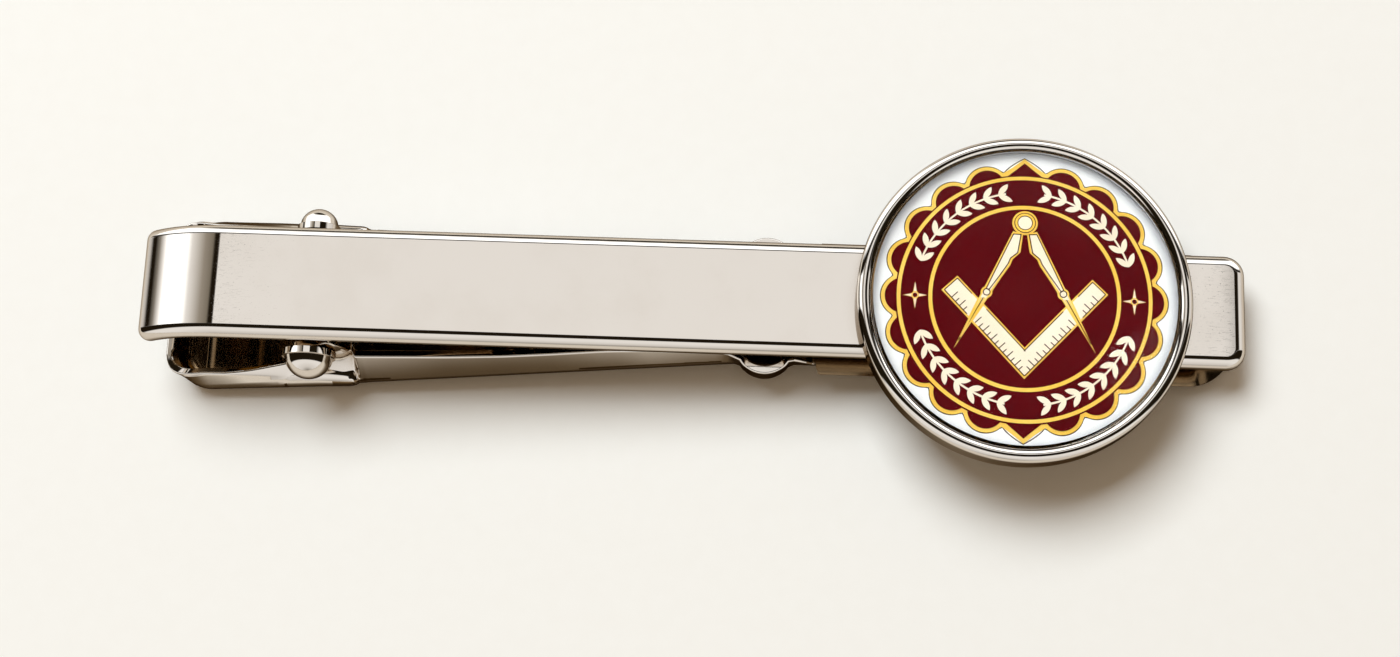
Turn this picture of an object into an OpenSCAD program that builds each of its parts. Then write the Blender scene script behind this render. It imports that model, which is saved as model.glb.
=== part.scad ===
// Tie clip: a polished bar with a round domed medallion, and a sprung lever behind it that grips the tie.
// Everything is drawn in the bar's own axes, then laid down as the clip rests on a table.
// Bar axes: x runs along the bar from its curled end, y goes across it, z is up and zero on the bar's face.

/* [Bar] */
// Length of the bar
bar_l = 60; // [56:0.5:66]
// Width of the bar
bar_w = 6.3; // [6:0.1:6.6]
// Thickness of the bar, whose long edges are fully round
bar_t = 1.3; // [1.2:0.05:1.35]
// Radius of the two corners at the medallion end, seen from the face
bar_corner = 1.1; // [0.8:0.1:2]
// Distance from the tip of the curled end to where the face is flat
flat_x = 4.55; // [4:0.05:4.8]
// Radius of the face along the curled end
curl_r = 7; // [6.6:0.1:9]

/* [Medallion] */
// Distance from the curled end to the middle of the medallion
medal_x = 48; // [45:0.5:50]
// Outer radius of the setting
setting_r = 8.9; // [8.6:0.05:9.2]
// Inner radius of the setting
setting_bore = 8.12; // [8:0.01:8.2]
// Thickness of the setting's floor
setting_floor = 0.5; // [0.4:0.05:0.6]
// Height of the setting's rim above the bar's face
setting_h = 1.6; // [1.5:0.05:1.9]
// Radius of the glass
glass_r = 8.05; // [7.9:0.01:8.05]
// Height of the glass at its edge
glass_edge = 0.85; // [0.6:0.05:1]
// Height of the dome above the edge of the glass
glass_dome = 1.35; // [0.9:0.05:1.6]
// Thickness of the printed disc
disc_t = 0.12; // [0.08:0.01:0.16]
// Thickness of each layer of ink
ink_t = 0.03; // [0.02:0.01:0.04]

/* [Emblem] */
// Number of scallops round the rosette
scallops = 20; // [16:1:24]
// Radius of the rosette at its scallops
rosette_r = 7.48; // [7.2:0.02:7.6]
// Radius of the rosette at its two points
rosette_point = 7.7; // [7.5:0.02:7.8]
// Width of the gold lines
line_w = 0.2; // [0.14:0.01:0.24]
// Outer radius of the outer gold ring
ring_outer = 6.65; // [6.5:0.05:6.7]
// Outer radius of the inner gold ring
ring_inner = 4.98; // [4.8:0.02:5.1]
// Number of leaf pairs along each branch
leaf_pairs = 8; // [5:1:9]

/* [Hinge] */
// Distance from the curled end to the hinge pin
pin_x = 9.4; // [9.2:0.1:9.8]
// Depth of the hinge pin below the bar's face
pin_d = 2.35; // [2.35:0.05:2.5]
// Radius of the hinge pin
pin_r = 0.6; // [0.5:0.01:0.6]
// Radius of the head on the near side
near_head_r = 1.45; // [1.2:0.05:1.5]
// Radius of the head on the far side
far_head_r = 1.18; // [1:0.02:1.3]
// Distance of the tips of the heads from the middle
head_reach = 4.9; // [4.7:0.05:5.1]
// Running clearance of the pin in the bar's lugs
pin_play = 0.05; // [0.03:0.01:0.08]
// Inner face of each lug, from the middle
lug_in = 1.8; // [1.75:0.05:1.9]
// Outer face of each lug, from the middle
lug_out = 2.65; // [2.4:0.05:2.65]

/* [Lever] */
// Thickness of the lever's sheet
wall = 0.5; // [0.4:0.05:0.55]
// Distance from the bar's curled end to the lever's tail
tail_x = 1.1; // [1.1:0.1:1.5]
// Depth of the tail's floor below the bar's face
tail_d = 6.95; // [6.75:0.05:7.05]
// Length of the thumb tray
tray_l = 11.1; // [10.8:0.1:11.2]
// Half the width of the tray's belly at its tail
tray_w = 4.95; // [4.8:0.05:5.05]
// Half the width of the tray's belly beside the arm
tray_end_w = 4.6; // [4.5:0.05:4.7]
// Half the width of the tray at its rim
tray_rim_w = 4.35; // [4.2:0.05:4.4]
// Slope of the tray's floor
tray_slope = 7; // [6.5:0.25:7.25]
// Depth of the tray's rim below the bar's face
rim_d = 4.45; // [4.4:0.05:4.5]
// Half the width of the arm where it leaves the tray
arm_root_w = 4.42; // [4.36:0.02:4.5]
// Half the width of the arm from its pocket to its tip
arm_w = 3.2; // [3:0.05:3.3]
// Depth of the arm's floor where it leaves the tray
arm_root_d = 5.75; // [5.6:0.05:5.85]
// Depth of the arm's floor from its pocket to its tip
arm_d = 3.15; // [3:0.05:3.3]
// Distance from the bar's curled end to the arm's tip
tip_x = 59.2; // [57:0.1:59.6]
// Distance from the bar's curled end to the middle of the pocket
pocket_x = 34.3; // [33:0.1:36]
// Number of gripping teeth
teeth = 9; // [4:1:9]
// Distance between gripping teeth
tooth_pitch = 1.15; // [1.1:0.05:1.2]

/* [Spring] */
// Thickness of the spring's strip
spring_t = 0.25; // [0.2:0.01:0.28]
// Half the width of the spring's strip
spring_w = 1.6; // [1.2:0.05:1.65]
// Inner radius of the spring's bend round the pin
spring_r = 0.75; // [0.72:0.01:0.78]

/* [Hidden] */
$fn = 64;

steel = "#c9c6c0";
glass = "#eef4f8";
paper = "#f6f5f2";
gold = "#efbd49";
maroon = "#5a0008";
cream = "#f5ecd8";
tiny = 0.02;
far = 20;

// The curled end turns just far enough for its tip to be at x = 0
edge_r = bar_t / 2;
curl_turn = asin((flat_x - edge_r) / (curl_r - edge_r));
curl_tip_z = (curl_r - edge_r) * cos(curl_turn) - curl_r;

// Hinge
pin_z = -pin_d;
lug_r = 1.15;
lug_root = 0.3;
ear_in = lug_out + 0.1;
ear_t = 0.6;
ear_out = ear_in + ear_t;
ear_r = pin_d - bar_t - 0.08;
ear_play = 0.01;
head_gap = 0.03;

// Stack of the medallion, from the setting's floor up
disc_z = setting_floor;
ink_z = disc_z + disc_t;
glass_z = ink_z + 4 * ink_t + tiny;

// Lever
tray_round = 0.9;
tray_corner = 2.2;
waist_corner = 1;
tail_r = 1.3;
tray_end_r = 1.6;
tray_z = tail_r - tail_d;
arm_x = 12;
arm_start_x = 11.1;
arm_rim_x = 11.5;
arm_end_x = 33.6;
arm_round = 0.8;
arm_lean = 0.31;
tip_corner = 2;
tip_r = 1.5;
pocket_r = 1.6;
pocket_reach = 3.85;
pocket_d = 3.9;
pocket_round = 0.7;
grip_d = bar_t + 0.12;
open_d = 2.3;
tooth_x = 19.2;
tooth_w = 0.9;
tooth_tip_d = 1.55;
tooth_reach = 2.5;

// Rest: the tail and the tip touch the table together
rest_dx = tip_x - tip_r - tail_x - tail_r;
rest_dz = tail_d - tail_r - arm_d + tip_r;
rest_turn = atan2(rest_dz, rest_dx) + asin((tail_r - tip_r) / norm([rest_dx, rest_dz]));
rest_lift = (tail_x + tail_r) * sin(rest_turn) + (tail_d - tail_r) * cos(rest_turn) + tail_r;
rest_left = edge_r * cos(rest_turn) + curl_tip_z * sin(rest_turn) - edge_r;
rest_right = (bar_l - edge_r) * cos(rest_turn) - edge_r * sin(rest_turn) + edge_r;

// Emblem, from its middle
valley_r = 6.92;
pivot_y = 4.02;
pivot_r = 0.66;
joint_r = 0.3;
joint_at = [1.97, 0.23];
leg_tip = [3.64, -2.8];
square_apex = [0, -4.3];
square_arm_w = 1.12;
square_arm_l = 6.3;
star_x = 5.68;
star_h = 0.72;
star_w = 0.62;
star_t = 0.13;
band_r = (ring_outer - line_w + ring_inner) / 2;
leaf_l = 0.82;
leaf_arc_r = 0.62;
branch_from = 19;
branch_to = 84;

// Lays what is drawn in the bar's axes down on the table, with the origin below the middle of it all
module lay() {
    translate([-(rest_left + rest_right) / 2, 0, rest_lift]) rotate([0, rest_turn, 0]) children();
}

// Runs an outline drawn as (y, z) along x
module along_x(from, to) {
    translate([from, 0, 0]) rotate([90, 0, 90]) linear_extrude(to - from) children();
}

// Runs an outline drawn as (x, z) along y, from one side to the other
module along_y(from, to) {
    translate([0, to, 0]) rotate([90, 0, 0]) linear_extrude(to - from) children();
}

// Draws the same thing on both sides of the bar
module both_sides() {
    children();
    mirror([0, 1, 0]) children();
}

// A bar's cross-section with fully round edges, upright
module stadium(across, thick) {
    square([thick, across - thick], center = true);
    for (side = [-1, 1]) translate([0, side * (across - thick) / 2]) circle(d = thick);
}

// A rectangle with round corners, of one radius at its left end and another at its right end
module round_rect(from, to, half, left_r, right_r) {
    translate([from + left_r, -half]) square([to - from - left_r - right_r, 2 * half]);
    translate([from, left_r - half]) square([left_r + tiny, 2 * (half - left_r)]);
    translate([to - right_r - tiny, right_r - half]) square([right_r + tiny, 2 * (half - right_r)]);
    for (side = [-1, 1]) {
        translate([from + left_r, side * (half - left_r)]) circle(left_r);
        translate([to - right_r, side * (half - right_r)]) circle(right_r);
    }
}

// The curled end of the bar: a part of a ring round an axis across the bar, and a round tip
module curled_end() {
    translate([flat_x, 0, -curl_r]) rotate([90, 0, 0]) rotate([0, 0, 90])
        rotate_extrude(angle = curl_turn) translate([curl_r - edge_r, 0]) stadium(bar_w, bar_t);
    translate([edge_r, 0, curl_tip_z]) {
        rotate([90, 0, 0]) cylinder(r = edge_r, h = bar_w - bar_t, center = true);
        both_sides() translate([0, bar_w / 2 - edge_r, 0]) sphere(edge_r);
    }
}

// Half of the cross-section of the bar's square end, from the middle of a corner outwards
module end_profile() {
    flat = bar_corner - edge_r;
    translate([0, -edge_r]) square([flat, bar_t]);
    intersection() {
        translate([flat, 0]) circle(edge_r);
        translate([0, -edge_r]) square([bar_corner, bar_t]);
    }
}

// The end of the bar behind the medallion, with two small round corners
module square_end() {
    corner_y = bar_w / 2 - bar_corner;
    translate([bar_l - bar_corner, 0, -edge_r]) {
        along_y(-corner_y, corner_y) end_profile();
        both_sides() translate([0, corner_y, 0]) rotate_extrude(angle = 90) end_profile();
    }
}

// A round bar or bore across the clip on the hinge's axis
module hinge_axle(r, length) {
    translate([pin_x, 0, pin_z]) rotate([90, 0, 0]) cylinder(r = r, h = length, center = true);
}

// The long flat of the bar
module bar_flat() {
    translate([0, 0, -edge_r]) along_x(flat_x, bar_l - bar_corner) rotate(90) stadium(bar_w, bar_t);
}

// The round setting, with a bead for a rim
module setting() {
    bead_r = (setting_r - setting_bore) / 2;
    translate([medal_x, 0, 0]) {
        rotate_extrude() {
            square([setting_r, setting_floor]);
            translate([setting_bore, 0]) square([2 * bead_r, setting_h - bead_r]);
            translate([setting_bore + bead_r, setting_h - bead_r]) circle(bead_r);
        }
        translate([0, 0, -edge_r]) cylinder(r = bar_w / 3, h = edge_r + setting_floor / 2);
    }
}

// One of the two lugs that carry the hinge pin
module lug() {
    along_y(lug_in, lug_out) {
        translate([pin_x, pin_z]) circle(lug_r);
        translate([pin_x - lug_r, pin_z]) square([2 * lug_r, pin_d - bar_t + lug_root]);
    }
}

module front_bar() {
    color(steel) lay() difference() {
        union() {
            bar_flat();
            curled_end();
            square_end();
            setting();
            both_sides() lug();
        }
        hinge_axle(pin_r + pin_play, far);
    }
}

module glass_cabochon() {
    dome_r = (glass_r * glass_r + glass_dome * glass_dome) / (2 * glass_dome);
    color(glass, 0.4) lay() translate([medal_x, 0, glass_z]) rotate_extrude() intersection() {
        translate([0, glass_edge + glass_dome - dome_r]) circle(dome_r, $fn = 256);
        square([glass_r, glass_edge + glass_dome]);
    }
}

module printed_disc() {
    color(paper) lay() translate([medal_x, 0, disc_z]) cylinder(r = glass_r, h = disc_t);
}

// Places one layer of ink on the disc, on top of the layers below it
module ink(layer) {
    lay() translate([medal_x, 0, ink_z + layer * ink_t]) linear_extrude(ink_t) children();
}

// The scalloped rosette, drawn in by a margin: a point replaces the scallops at its top and bottom
module rosette(margin) {
    step = 360 / scallops;
    lobe = valley_r * tan(step / 2) + 0.05;
    circle(valley_r - margin);
    for (i = [0 : scallops - 1], turn = i * step)
        if (turn % 180 != 0) rotate(90 + turn) translate([rosette_r - lobe, 0]) circle(lobe - margin);
    for (turn = [90, 270]) rotate(turn) polygon([
        [valley_r - 1, margin - lobe],
        [valley_r - 0.1 - margin, margin - lobe],
        [rosette_r - 0.3 - margin, (margin - lobe) * 0.55],
        [rosette_point - 1.3 * margin, 0],
        [rosette_r - 0.3 - margin, (lobe - margin) * 0.55],
        [valley_r - 0.1 - margin, lobe - margin],
        [valley_r - 1, lobe - margin]
    ]);
}

// A ring of the given outer radius and line width
module line_ring(r, w) {
    difference() {
        circle(r);
        circle(r - w);
    }
}

// The draughtsman's square, drawn in by a margin
module try_square(margin) {
    for (side = [-1, 1]) scale_x(side) translate(square_apex) rotate(47) polygon([
        [1.1 * margin, margin],
        [square_arm_l - margin, margin],
        [square_arm_l - margin, square_arm_w - margin],
        [square_arm_w - 0.9 * margin, square_arm_w - margin]
    ]);
}

// Mirrors a flat shape left to right where the sign is negative
module scale_x(sign) {
    mirror([sign < 0 ? 1 : 0, 0]) children();
}

// One leg of the compasses down to its joint, broad at the head and stepped in half way down
module compass_leg() {
    polygon([
        [0.1, 3.4], [0.62, 3.55], [2.16, 0.32], [1.76, 0.16],
        [1.2, 1.05], [0.76, 1.7], [0.64, 2.02], [0.24, 2.4]
    ]);
}

// The slim point below the joint of a leg
module compass_point() {
    polygon([joint_at + [0.2, 0.12], leg_tip, joint_at + [-0.2, -0.1]]);
}

// The pair of compasses, drawn in by a margin
module compasses(margin) {
    translate([0, pivot_y]) circle(pivot_r - margin);
    for (side = [-1, 1]) scale_x(side) {
        translate(joint_at) circle(joint_r - margin);
        offset(delta = -margin) compass_leg();
        offset(delta = -0.7 * margin) compass_point();
    }
}

// A star with four slim points and an open middle, drawn in by a margin
module star(margin) {
    half = star_t - margin / 2;
    difference() {
        union() {
            for (turn = [0, 90]) rotate(turn) {
                reach = (turn == 0 ? star_w : star_h) - margin;
                polygon([[reach, 0], [0, half], [-reach, 0], [0, -half]]);
            }
            circle(star_t + half / 2);
        }
        circle(star_t);
    }
}

// One pointed leaf, with its stalk at the origin
module leaf() {
    half = leaf_l / 2;
    drop = sqrt(leaf_arc_r * leaf_arc_r - half * half);
    intersection_for(side = [-1, 1]) translate([half, side * drop]) circle(leaf_arc_r);
}

// One branch of leaves along the band, from one side of the rosette to near its middle
module branch() {
    step = (branch_to - branch_from) / leaf_pairs;
    difference() {
        line_ring(band_r + 0.05, 0.1);
        rotate(branch_from - 180) translate([-far, 0]) square([2 * far, far]);
        rotate(branch_to - step / 2) translate([-far, 0]) square([2 * far, far]);
    }
    for (i = [0 : leaf_pairs - 1], lean = [-1, 1])
        rotate(branch_from + i * step) translate([band_r, 0]) rotate(90 + lean * 38) leaf();
}

module emblem_gold_border() {
    color(gold) ink(0) rosette(0);
}

module emblem_maroon_field() {
    color(maroon) ink(1) rosette(line_w);
}

module emblem_gold_lines() {
    color(gold) ink(2) {
        line_ring(ring_outer, line_w);
        line_ring(ring_inner, line_w);
        try_square(0);
        compasses(0);
        for (side = [-1, 1]) translate([side * star_x, 0]) star(0);
    }
}

module emblem_cream_fill() {
    edge = line_w / 2;
    color(cream) ink(3) {
        difference() {
            try_square(edge);
            compasses(-edge / 2);
        }
        compasses(edge);
        for (side = [-1, 1]) translate([side * star_x, 0]) star(edge / 2);
    }
    color(cream) ink(2) for (side = [-1, 1], turn = [0, 180]) scale_x(side) rotate(turn) branch();
}

// The thumb tray at the tail, drawn in by a margin: flat in its own axes, then tipped to its slope
module tray(margin) {
    tip_z = -tail_r + tray_end_r;
    round_r = tray_round - margin;
    belly_z = -tail_r + tray_round;
    lean = (tray_w - tray_rim_w) / (tail_d - tray_round - rim_d);
    yaw = atan2(tray_w - tray_end_w, tray_l);
    high = 4;
    intersection() {
        translate([tail_x + tail_r, 0, tray_z]) rotate([0, -tray_slope, 0]) intersection() {
            translate([0, 0, -tail_r - 1]) linear_extrude(high + tail_r + 1)
                round_rect(margin - tail_r, tray_l - tail_r - margin, tray_w - margin,
                    tray_corner - margin, waist_corner - margin);
            along_y(-far, far) {
                circle(tail_r - margin);
                translate([tray_l - tail_r - tray_end_r, tip_z]) circle(tray_end_r - margin);
                translate([0, margin - tail_r])
                    square([tray_l - tail_r - tray_end_r, high]);
                translate([margin - tail_r, 0]) square([tray_l - 2 * margin, high]);
            }
            both_sides() intersection() {
                translate([-tail_r, tray_w - margin, 0]) rotate([0, 0, -yaw]) along_x(-1, tray_l + 1) {
                    translate([-round_r, belly_z]) circle(round_r);
                    translate([-2 * tray_w, margin - tail_r]) square([2 * tray_w - round_r, tray_round]);
                    polygon([
                        [-2 * tray_w, belly_z], [0, belly_z],
                        [-lean * high, belly_z + high], [-2 * tray_w, belly_z + high]
                    ]);
                }
                translate([-far / 2, 0, -far]) cube([far * 1.5, far, 2 * far]);
            }
        }
        translate([0, -far, -rim_d - far]) cube([far, 2 * far, far + (margin > 0 ? tiny : 0)]);
    }
}

// The two ears: plates that carry the pin and lean out at their feet to the tray's rims
module ears() {
    foot_w = tray_rim_w - 0.35;
    foot_z = -rim_d - 0.1;
    bend_z = pin_z - near_head_r - 0.07;
    both_sides() intersection() {
        along_x(pin_x - 4, pin_x + 3) polygon([
            [ear_in, 0], [ear_in, bend_z - 0.2], [foot_w - 0.4, foot_z - 0.15], [foot_w - 0.2, foot_z - 0.3],
            [foot_w, foot_z], [ear_out, bend_z], [ear_out, 0]
        ]);
        along_y(-far, far) {
            translate([pin_x, pin_z]) circle(ear_r);
            translate([pin_x, 0]) polygon([
                [-ear_r, pin_z], [0, pin_z + ear_r - 0.03], [1.15, pin_z + ear_r - 0.03], [1.6, -1.8],
                [2.15, -2.5], [2.3, foot_z - 0.5], [-3.8, foot_z - 0.5], [-3.5, -rim_d - 0.03],
                [-2.2, -rim_d + 0.22], [-1.35, bend_z - 0.1], [-1, bend_z + 0.1]
            ]);
        }
    }
}

// The tapered, sloping trough of the arm between the tray and the pocket, drawn in by a margin
module tapered_arm(margin) {
    run = arm_end_x - arm_x;
    yaw = atan2(arm_root_w - arm_w, run);
    pitch = atan2(arm_root_d - arm_d, run);
    deep = 5;
    r = arm_round - margin;
    both_sides() intersection() {
        translate([arm_x, arm_root_w - margin, margin - arm_root_d]) rotate([0, -pitch, 0])
            rotate([0, 0, -yaw]) along_x(-2, run + 2) {
                translate([-r, r]) circle(r);
                translate([-2 * arm_root_w, 0]) square([2 * arm_root_w - r, 2 * r]);
                polygon([
                    [-2 * arm_root_w, r], [0, r], [-arm_lean * (deep - r), deep], [-2 * arm_root_w, deep]
                ]);
            }
        translate([arm_start_x + margin / 2, 0, -far]) cube([arm_end_x - arm_start_x, far, 2 * far]);
    }
}

// The jog of each wall between its ear and the arm
module jogs() {
    from_z = -rim_d - 0.05;
    to_z = -2.5;
    intersection() {
        tapered_arm(tiny);
        both_sides() translate([arm_rim_x - 0.2, ear_in, from_z]) cube([0.45, 2, to_z - from_z]);
    }
}

// The even trough of the arm from the pocket to its spoon-shaped tip, drawn in by a margin
module even_arm(margin) {
    half = arm_w - margin;
    r = arm_round - margin;
    from = arm_end_x - 0.2;
    intersection() {
        along_x(from, tip_x) {
            for (side = [-1, 1]) translate([side * (half - r), margin + r - arm_d]) circle(r);
            translate([r - half, margin - arm_d]) square([2 * (half - r), arm_d]);
            translate([-half, margin + r - arm_d]) square([2 * half, arm_d]);
        }
        along_y(-far, far) {
            translate([tip_x - tip_r, tip_r - arm_d]) circle(tip_r - margin);
            translate([from, margin - arm_d]) square([tip_x - tip_r - from, arm_d]);
            translate([from, tip_r - arm_d]) square([tip_x - margin - from, arm_d]);
        }
        translate([0, 0, -far / 2]) linear_extrude(far)
            round_rect(from - 1, tip_x - margin, half, 0.5, tip_corner - margin);
    }
}

// The pocket pressed across the arm, round at both ends, drawn in by a margin
module pocket(margin) {
    at = pocket_reach - pocket_r;
    r = pocket_r - margin;
    round_r = pocket_round - margin;
    bottom = margin - pocket_d;
    translate([pocket_x, 0, 0]) {
        both_sides() translate([0, at, 0]) rotate_extrude() {
            translate([0, bottom]) square([r - round_r, -bottom]);
            translate([0, bottom + round_r]) square([r, -bottom - round_r]);
            translate([r - round_r, bottom + round_r]) circle(round_r);
        }
        along_y(-at, at) {
            for (side = [-1, 1]) translate([side * (r - round_r), bottom + round_r]) circle(round_r);
            translate([round_r - r, bottom]) square([2 * (r - round_r), -bottom]);
            translate([-r, bottom + round_r]) square([2 * r, -bottom - round_r]);
        }
    }
}

// All of the lever's outer or inner form
module lever_form(margin) {
    tray(margin);
    tapered_arm(margin);
    even_arm(margin);
    pocket(margin);
}

// The lever seen from the side, up to its rims
module lever_side() {
    polygon([
        [0, -far], [0, -rim_d], [arm_rim_x, -rim_d], [arm_rim_x, -2.35], [17, -2.05], [20, -1.9],
        [23, -1.65], [26, -grip_d], [32.6, -grip_d], [33.3, -2], [35.3, -2], [35.9, -1.5],
        [37.2, -open_d], [tip_x + 1, -open_d], [tip_x + 1, -far]
    ]);
}

// The gripping teeth across the arm's floor
module grip_teeth() {
    slope = (arm_root_d - arm_d) / (arm_end_x - arm_x);
    for (i = [0 : teeth - 1]) {
        x = tooth_x + i * tooth_pitch;
        floor_z = wall / 2 - arm_root_d + (x - arm_x) * slope;
        along_y(-tooth_reach, tooth_reach) polygon([
            [x - tooth_w / 2, floor_z], [x + tooth_w / 2, floor_z],
            [x + 0.1, -tooth_tip_d], [x, -tooth_tip_d]
        ]);
    }
}

module clip_lever() {
    color(steel) lay() difference() {
        union() {
            intersection() {
                difference() {
                    lever_form(0);
                    lever_form(wall);
                }
                along_y(-far, far) lever_side();
            }
            ears();
            jogs();
            grip_teeth();
        }
        hinge_axle(pin_r + ear_play, far);
    }
}

// One domed head of the pin, from the ear outwards
module pin_head(r) {
    thick = head_reach - ear_out - head_gap;
    side = 0.4;
    dome_r = (r * r + pow(thick - side, 2)) / (2 * (thick - side));
    rotate_extrude() intersection() {
        translate([0, thick - dome_r]) circle(dome_r);
        square([r, thick]);
    }
}

module hinge_pin() {
    seat_y = ear_out + head_gap;
    color(steel) lay() {
        hinge_axle(pin_r, 2 * seat_y + 0.2);
        translate([pin_x, -seat_y, pin_z]) rotate([90, 0, 0]) pin_head(near_head_r);
        translate([pin_x, seat_y, pin_z]) rotate([-90, 0, 0]) pin_head(far_head_r);
    }
}

module lever_spring() {
    leg_turn = 30.5;
    mid_r = spring_r + spring_t / 2;
    top_leg = 3.9;
    low_leg = 5.55;
    lap = 0.05;
    color(steel) lay() translate([pin_x, 0, pin_z]) along_y(-spring_w, spring_w) {
        difference() {
            circle(spring_r + spring_t);
            circle(spring_r);
            polygon([[0, 0], [0, 2], [-3, 2], [-3, -3], [3 * sin(leg_turn), -3 * cos(leg_turn)]]);
        }
        translate([-top_leg, spring_r]) square([top_leg + lap, spring_t]);
        rotate(leg_turn) translate([-low_leg, -spring_r - spring_t]) square([low_leg + lap, spring_t]);
    }
}

front_bar();
glass_cabochon();
printed_disc();
emblem_gold_border();
emblem_maroon_field();
emblem_gold_lines();
emblem_cream_fill();
clip_lever();
hinge_pin();
lever_spring();
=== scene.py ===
"""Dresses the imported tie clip: a polished bar with a glass medallion, and the sprung lever behind it.

Every piece is modelled in the bar's own axes, in millimetres: x runs along the bar from its curled end, y goes
across it and z is up, with zero on the bar's face. The finished piece is then laid down as the clip rests.
"""

import logging
import math
from collections.abc import Callable, Iterable, Sequence
from dataclasses import dataclass
from enum import Enum

import bmesh
import bpy
from mathutils import Matrix, Vector

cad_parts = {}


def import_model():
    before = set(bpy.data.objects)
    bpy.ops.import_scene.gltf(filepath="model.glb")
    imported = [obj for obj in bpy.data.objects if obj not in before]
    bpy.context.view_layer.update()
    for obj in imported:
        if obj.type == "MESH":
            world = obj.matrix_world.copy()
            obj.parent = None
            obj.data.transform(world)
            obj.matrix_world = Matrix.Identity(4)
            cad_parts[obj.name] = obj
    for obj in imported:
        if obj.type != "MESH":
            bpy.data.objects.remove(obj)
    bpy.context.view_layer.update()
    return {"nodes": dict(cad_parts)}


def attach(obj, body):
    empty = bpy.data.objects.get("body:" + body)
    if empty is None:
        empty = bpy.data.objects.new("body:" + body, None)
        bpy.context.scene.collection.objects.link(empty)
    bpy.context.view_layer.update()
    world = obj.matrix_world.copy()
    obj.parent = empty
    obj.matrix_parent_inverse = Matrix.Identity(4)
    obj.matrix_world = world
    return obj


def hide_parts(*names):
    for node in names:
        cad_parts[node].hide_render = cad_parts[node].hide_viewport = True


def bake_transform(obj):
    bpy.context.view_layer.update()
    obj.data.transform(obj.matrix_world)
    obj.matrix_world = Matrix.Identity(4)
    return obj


LOG = logging.getLogger("tie_clip")
MM = 0.001
# Width of the photograph in pixels.
IMAGE_W = 1400
# How near to a plane a point counts as on it, how long an edge is that runs along an axis, and how squarely a face
# looks along one.
NEAR, LONG, SQUARE = 0.01, 0.1, 0.99
# The hinge's axis.
PIN_X, PIN_Z = 9.4, -2.35
# The medallion's middle, the radius of its glass, and the levels of its disc, of the print's ground and of its top.
MEDAL_X, GLASS_R = 48.0, 8.05
DISC_Z, GROUND_Z, INK_TOP_Z = 0.5, 0.62, 0.74

Colour = tuple[float, float, float]
Point = tuple[float, float, float]
Mark = tuple[float, float]
Piece = bpy.types.Object
Material = bpy.types.Material
Tree = bpy.types.NodeTree
Socket = bpy.types.NodeSocket


# ---------------------------------------------------------------- shop tools


def srgb(*screen: float) -> Colour:
    """Turns a colour read off a screen, 0 to 255, into the linear colour that a shader takes."""
    shares = (value / 255 for value in screen)
    return tuple(share / 12.92 if share <= 0.04045 else ((share + 0.055) / 1.055) ** 2.4 for share in shares)


def edit(obj: Piece, kind: str = "VERT") -> None:
    """Opens a piece in edit mode with nothing selected.

    Args:
        obj: The piece.
        kind: What is selected in it: VERT, EDGE or FACE.
    """
    bpy.context.view_layer.objects.active = obj
    bpy.ops.object.mode_set(mode="EDIT")
    bpy.ops.mesh.select_mode(type=kind)
    bpy.ops.mesh.select_all(action="DESELECT")


def leave() -> None:
    """Goes back to object mode."""
    bpy.ops.object.mode_set(mode="OBJECT")


def clear() -> None:
    """Deselects every object, the frame's nodes too."""
    if bpy.context.object is not None and bpy.context.object.mode != "OBJECT":
        leave()
    bpy.ops.object.select_all(action="DESELECT")


def only(obj: Piece) -> None:
    """Selects one object alone and makes it active.

    Args:
        obj: The object.
    """
    clear()
    obj.select_set(True)
    bpy.context.view_layer.objects.active = obj


def fresh() -> Piece:
    """Takes up the primitive just added, with its place, turn and scale put into its mesh.

    Returns:
        The piece.
    """
    obj = bpy.context.object
    only(obj)
    bpy.ops.object.transform_apply(location=True, rotation=True, scale=True)
    return obj


def block(location: Point, scale: Point) -> Piece:
    """Adds a block.

    Args:
        location: Its middle.
        scale: Its length, width and height.

    Returns:
        The piece.
    """
    clear()
    bpy.ops.mesh.primitive_cube_add(size=1, location=location, scale=scale)
    return fresh()


def pick(obj: Piece, kind: str, test: Callable[..., bool]) -> None:
    """Selects what passes a test in the piece in edit mode.

    Args:
        obj: The piece, in edit mode.
        kind: What is tested: faces by centre and normal, edges by their two ends, or verts by their place.
        test: Called with those vectors.
    """
    mesh = bmesh.from_edit_mesh(obj.data)
    for part in getattr(mesh, kind):
        if kind == "faces":
            vectors = (part.calc_center_median(), part.normal)
        else:
            vectors = (part.co,) if kind == "verts" else [v.co for v in part.verts]
        part.select_set(bool(test(*vectors)))
    mesh.select_flush_mode()
    bmesh.update_edit_mesh(obj.data)


def push(x: float = 0.0, y: float = 0.0, z: float = 0.0) -> None:
    """Extrudes what is selected and moves it."""
    bpy.ops.mesh.extrude_region_move(TRANSFORM_OT_translate={"value": (x, y, z)})


def bevel(offset: float, segments: int) -> None:
    """Bevels the selected edges."""
    bpy.ops.mesh.bevel(offset=offset, segments=segments, affect="EDGES", clamp_overlap=False)


def merge(distance: float = 0.0005) -> None:
    """Merges all doubles of the closed piece in edit mode and turns its faces outwards.

    Args:
        distance: How near two points are to be merged.
    """
    bpy.ops.mesh.select_all(action="SELECT")
    bpy.ops.mesh.remove_doubles(threshold=distance)
    bpy.ops.mesh.normals_make_consistent(inside=False)
    if bmesh.from_edit_mesh(bpy.context.edit_object.data).calc_volume(signed=True) < 0:
        bpy.ops.mesh.flip_normals()


def apply_modifier(obj: Piece, kind: str, **settings: object) -> None:
    """Adds a modifier with its settings and applies it.

    Args:
        obj: The piece.
        kind: The modifier's type, such as SOLIDIFY.
        **settings: Its values by name.
    """
    only(obj)
    modifier = obj.modifiers.new(kind.lower(), kind)
    for name, value in settings.items():
        setattr(modifier, name, value)
    bpy.ops.object.modifier_apply(modifier=modifier.name)


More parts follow.
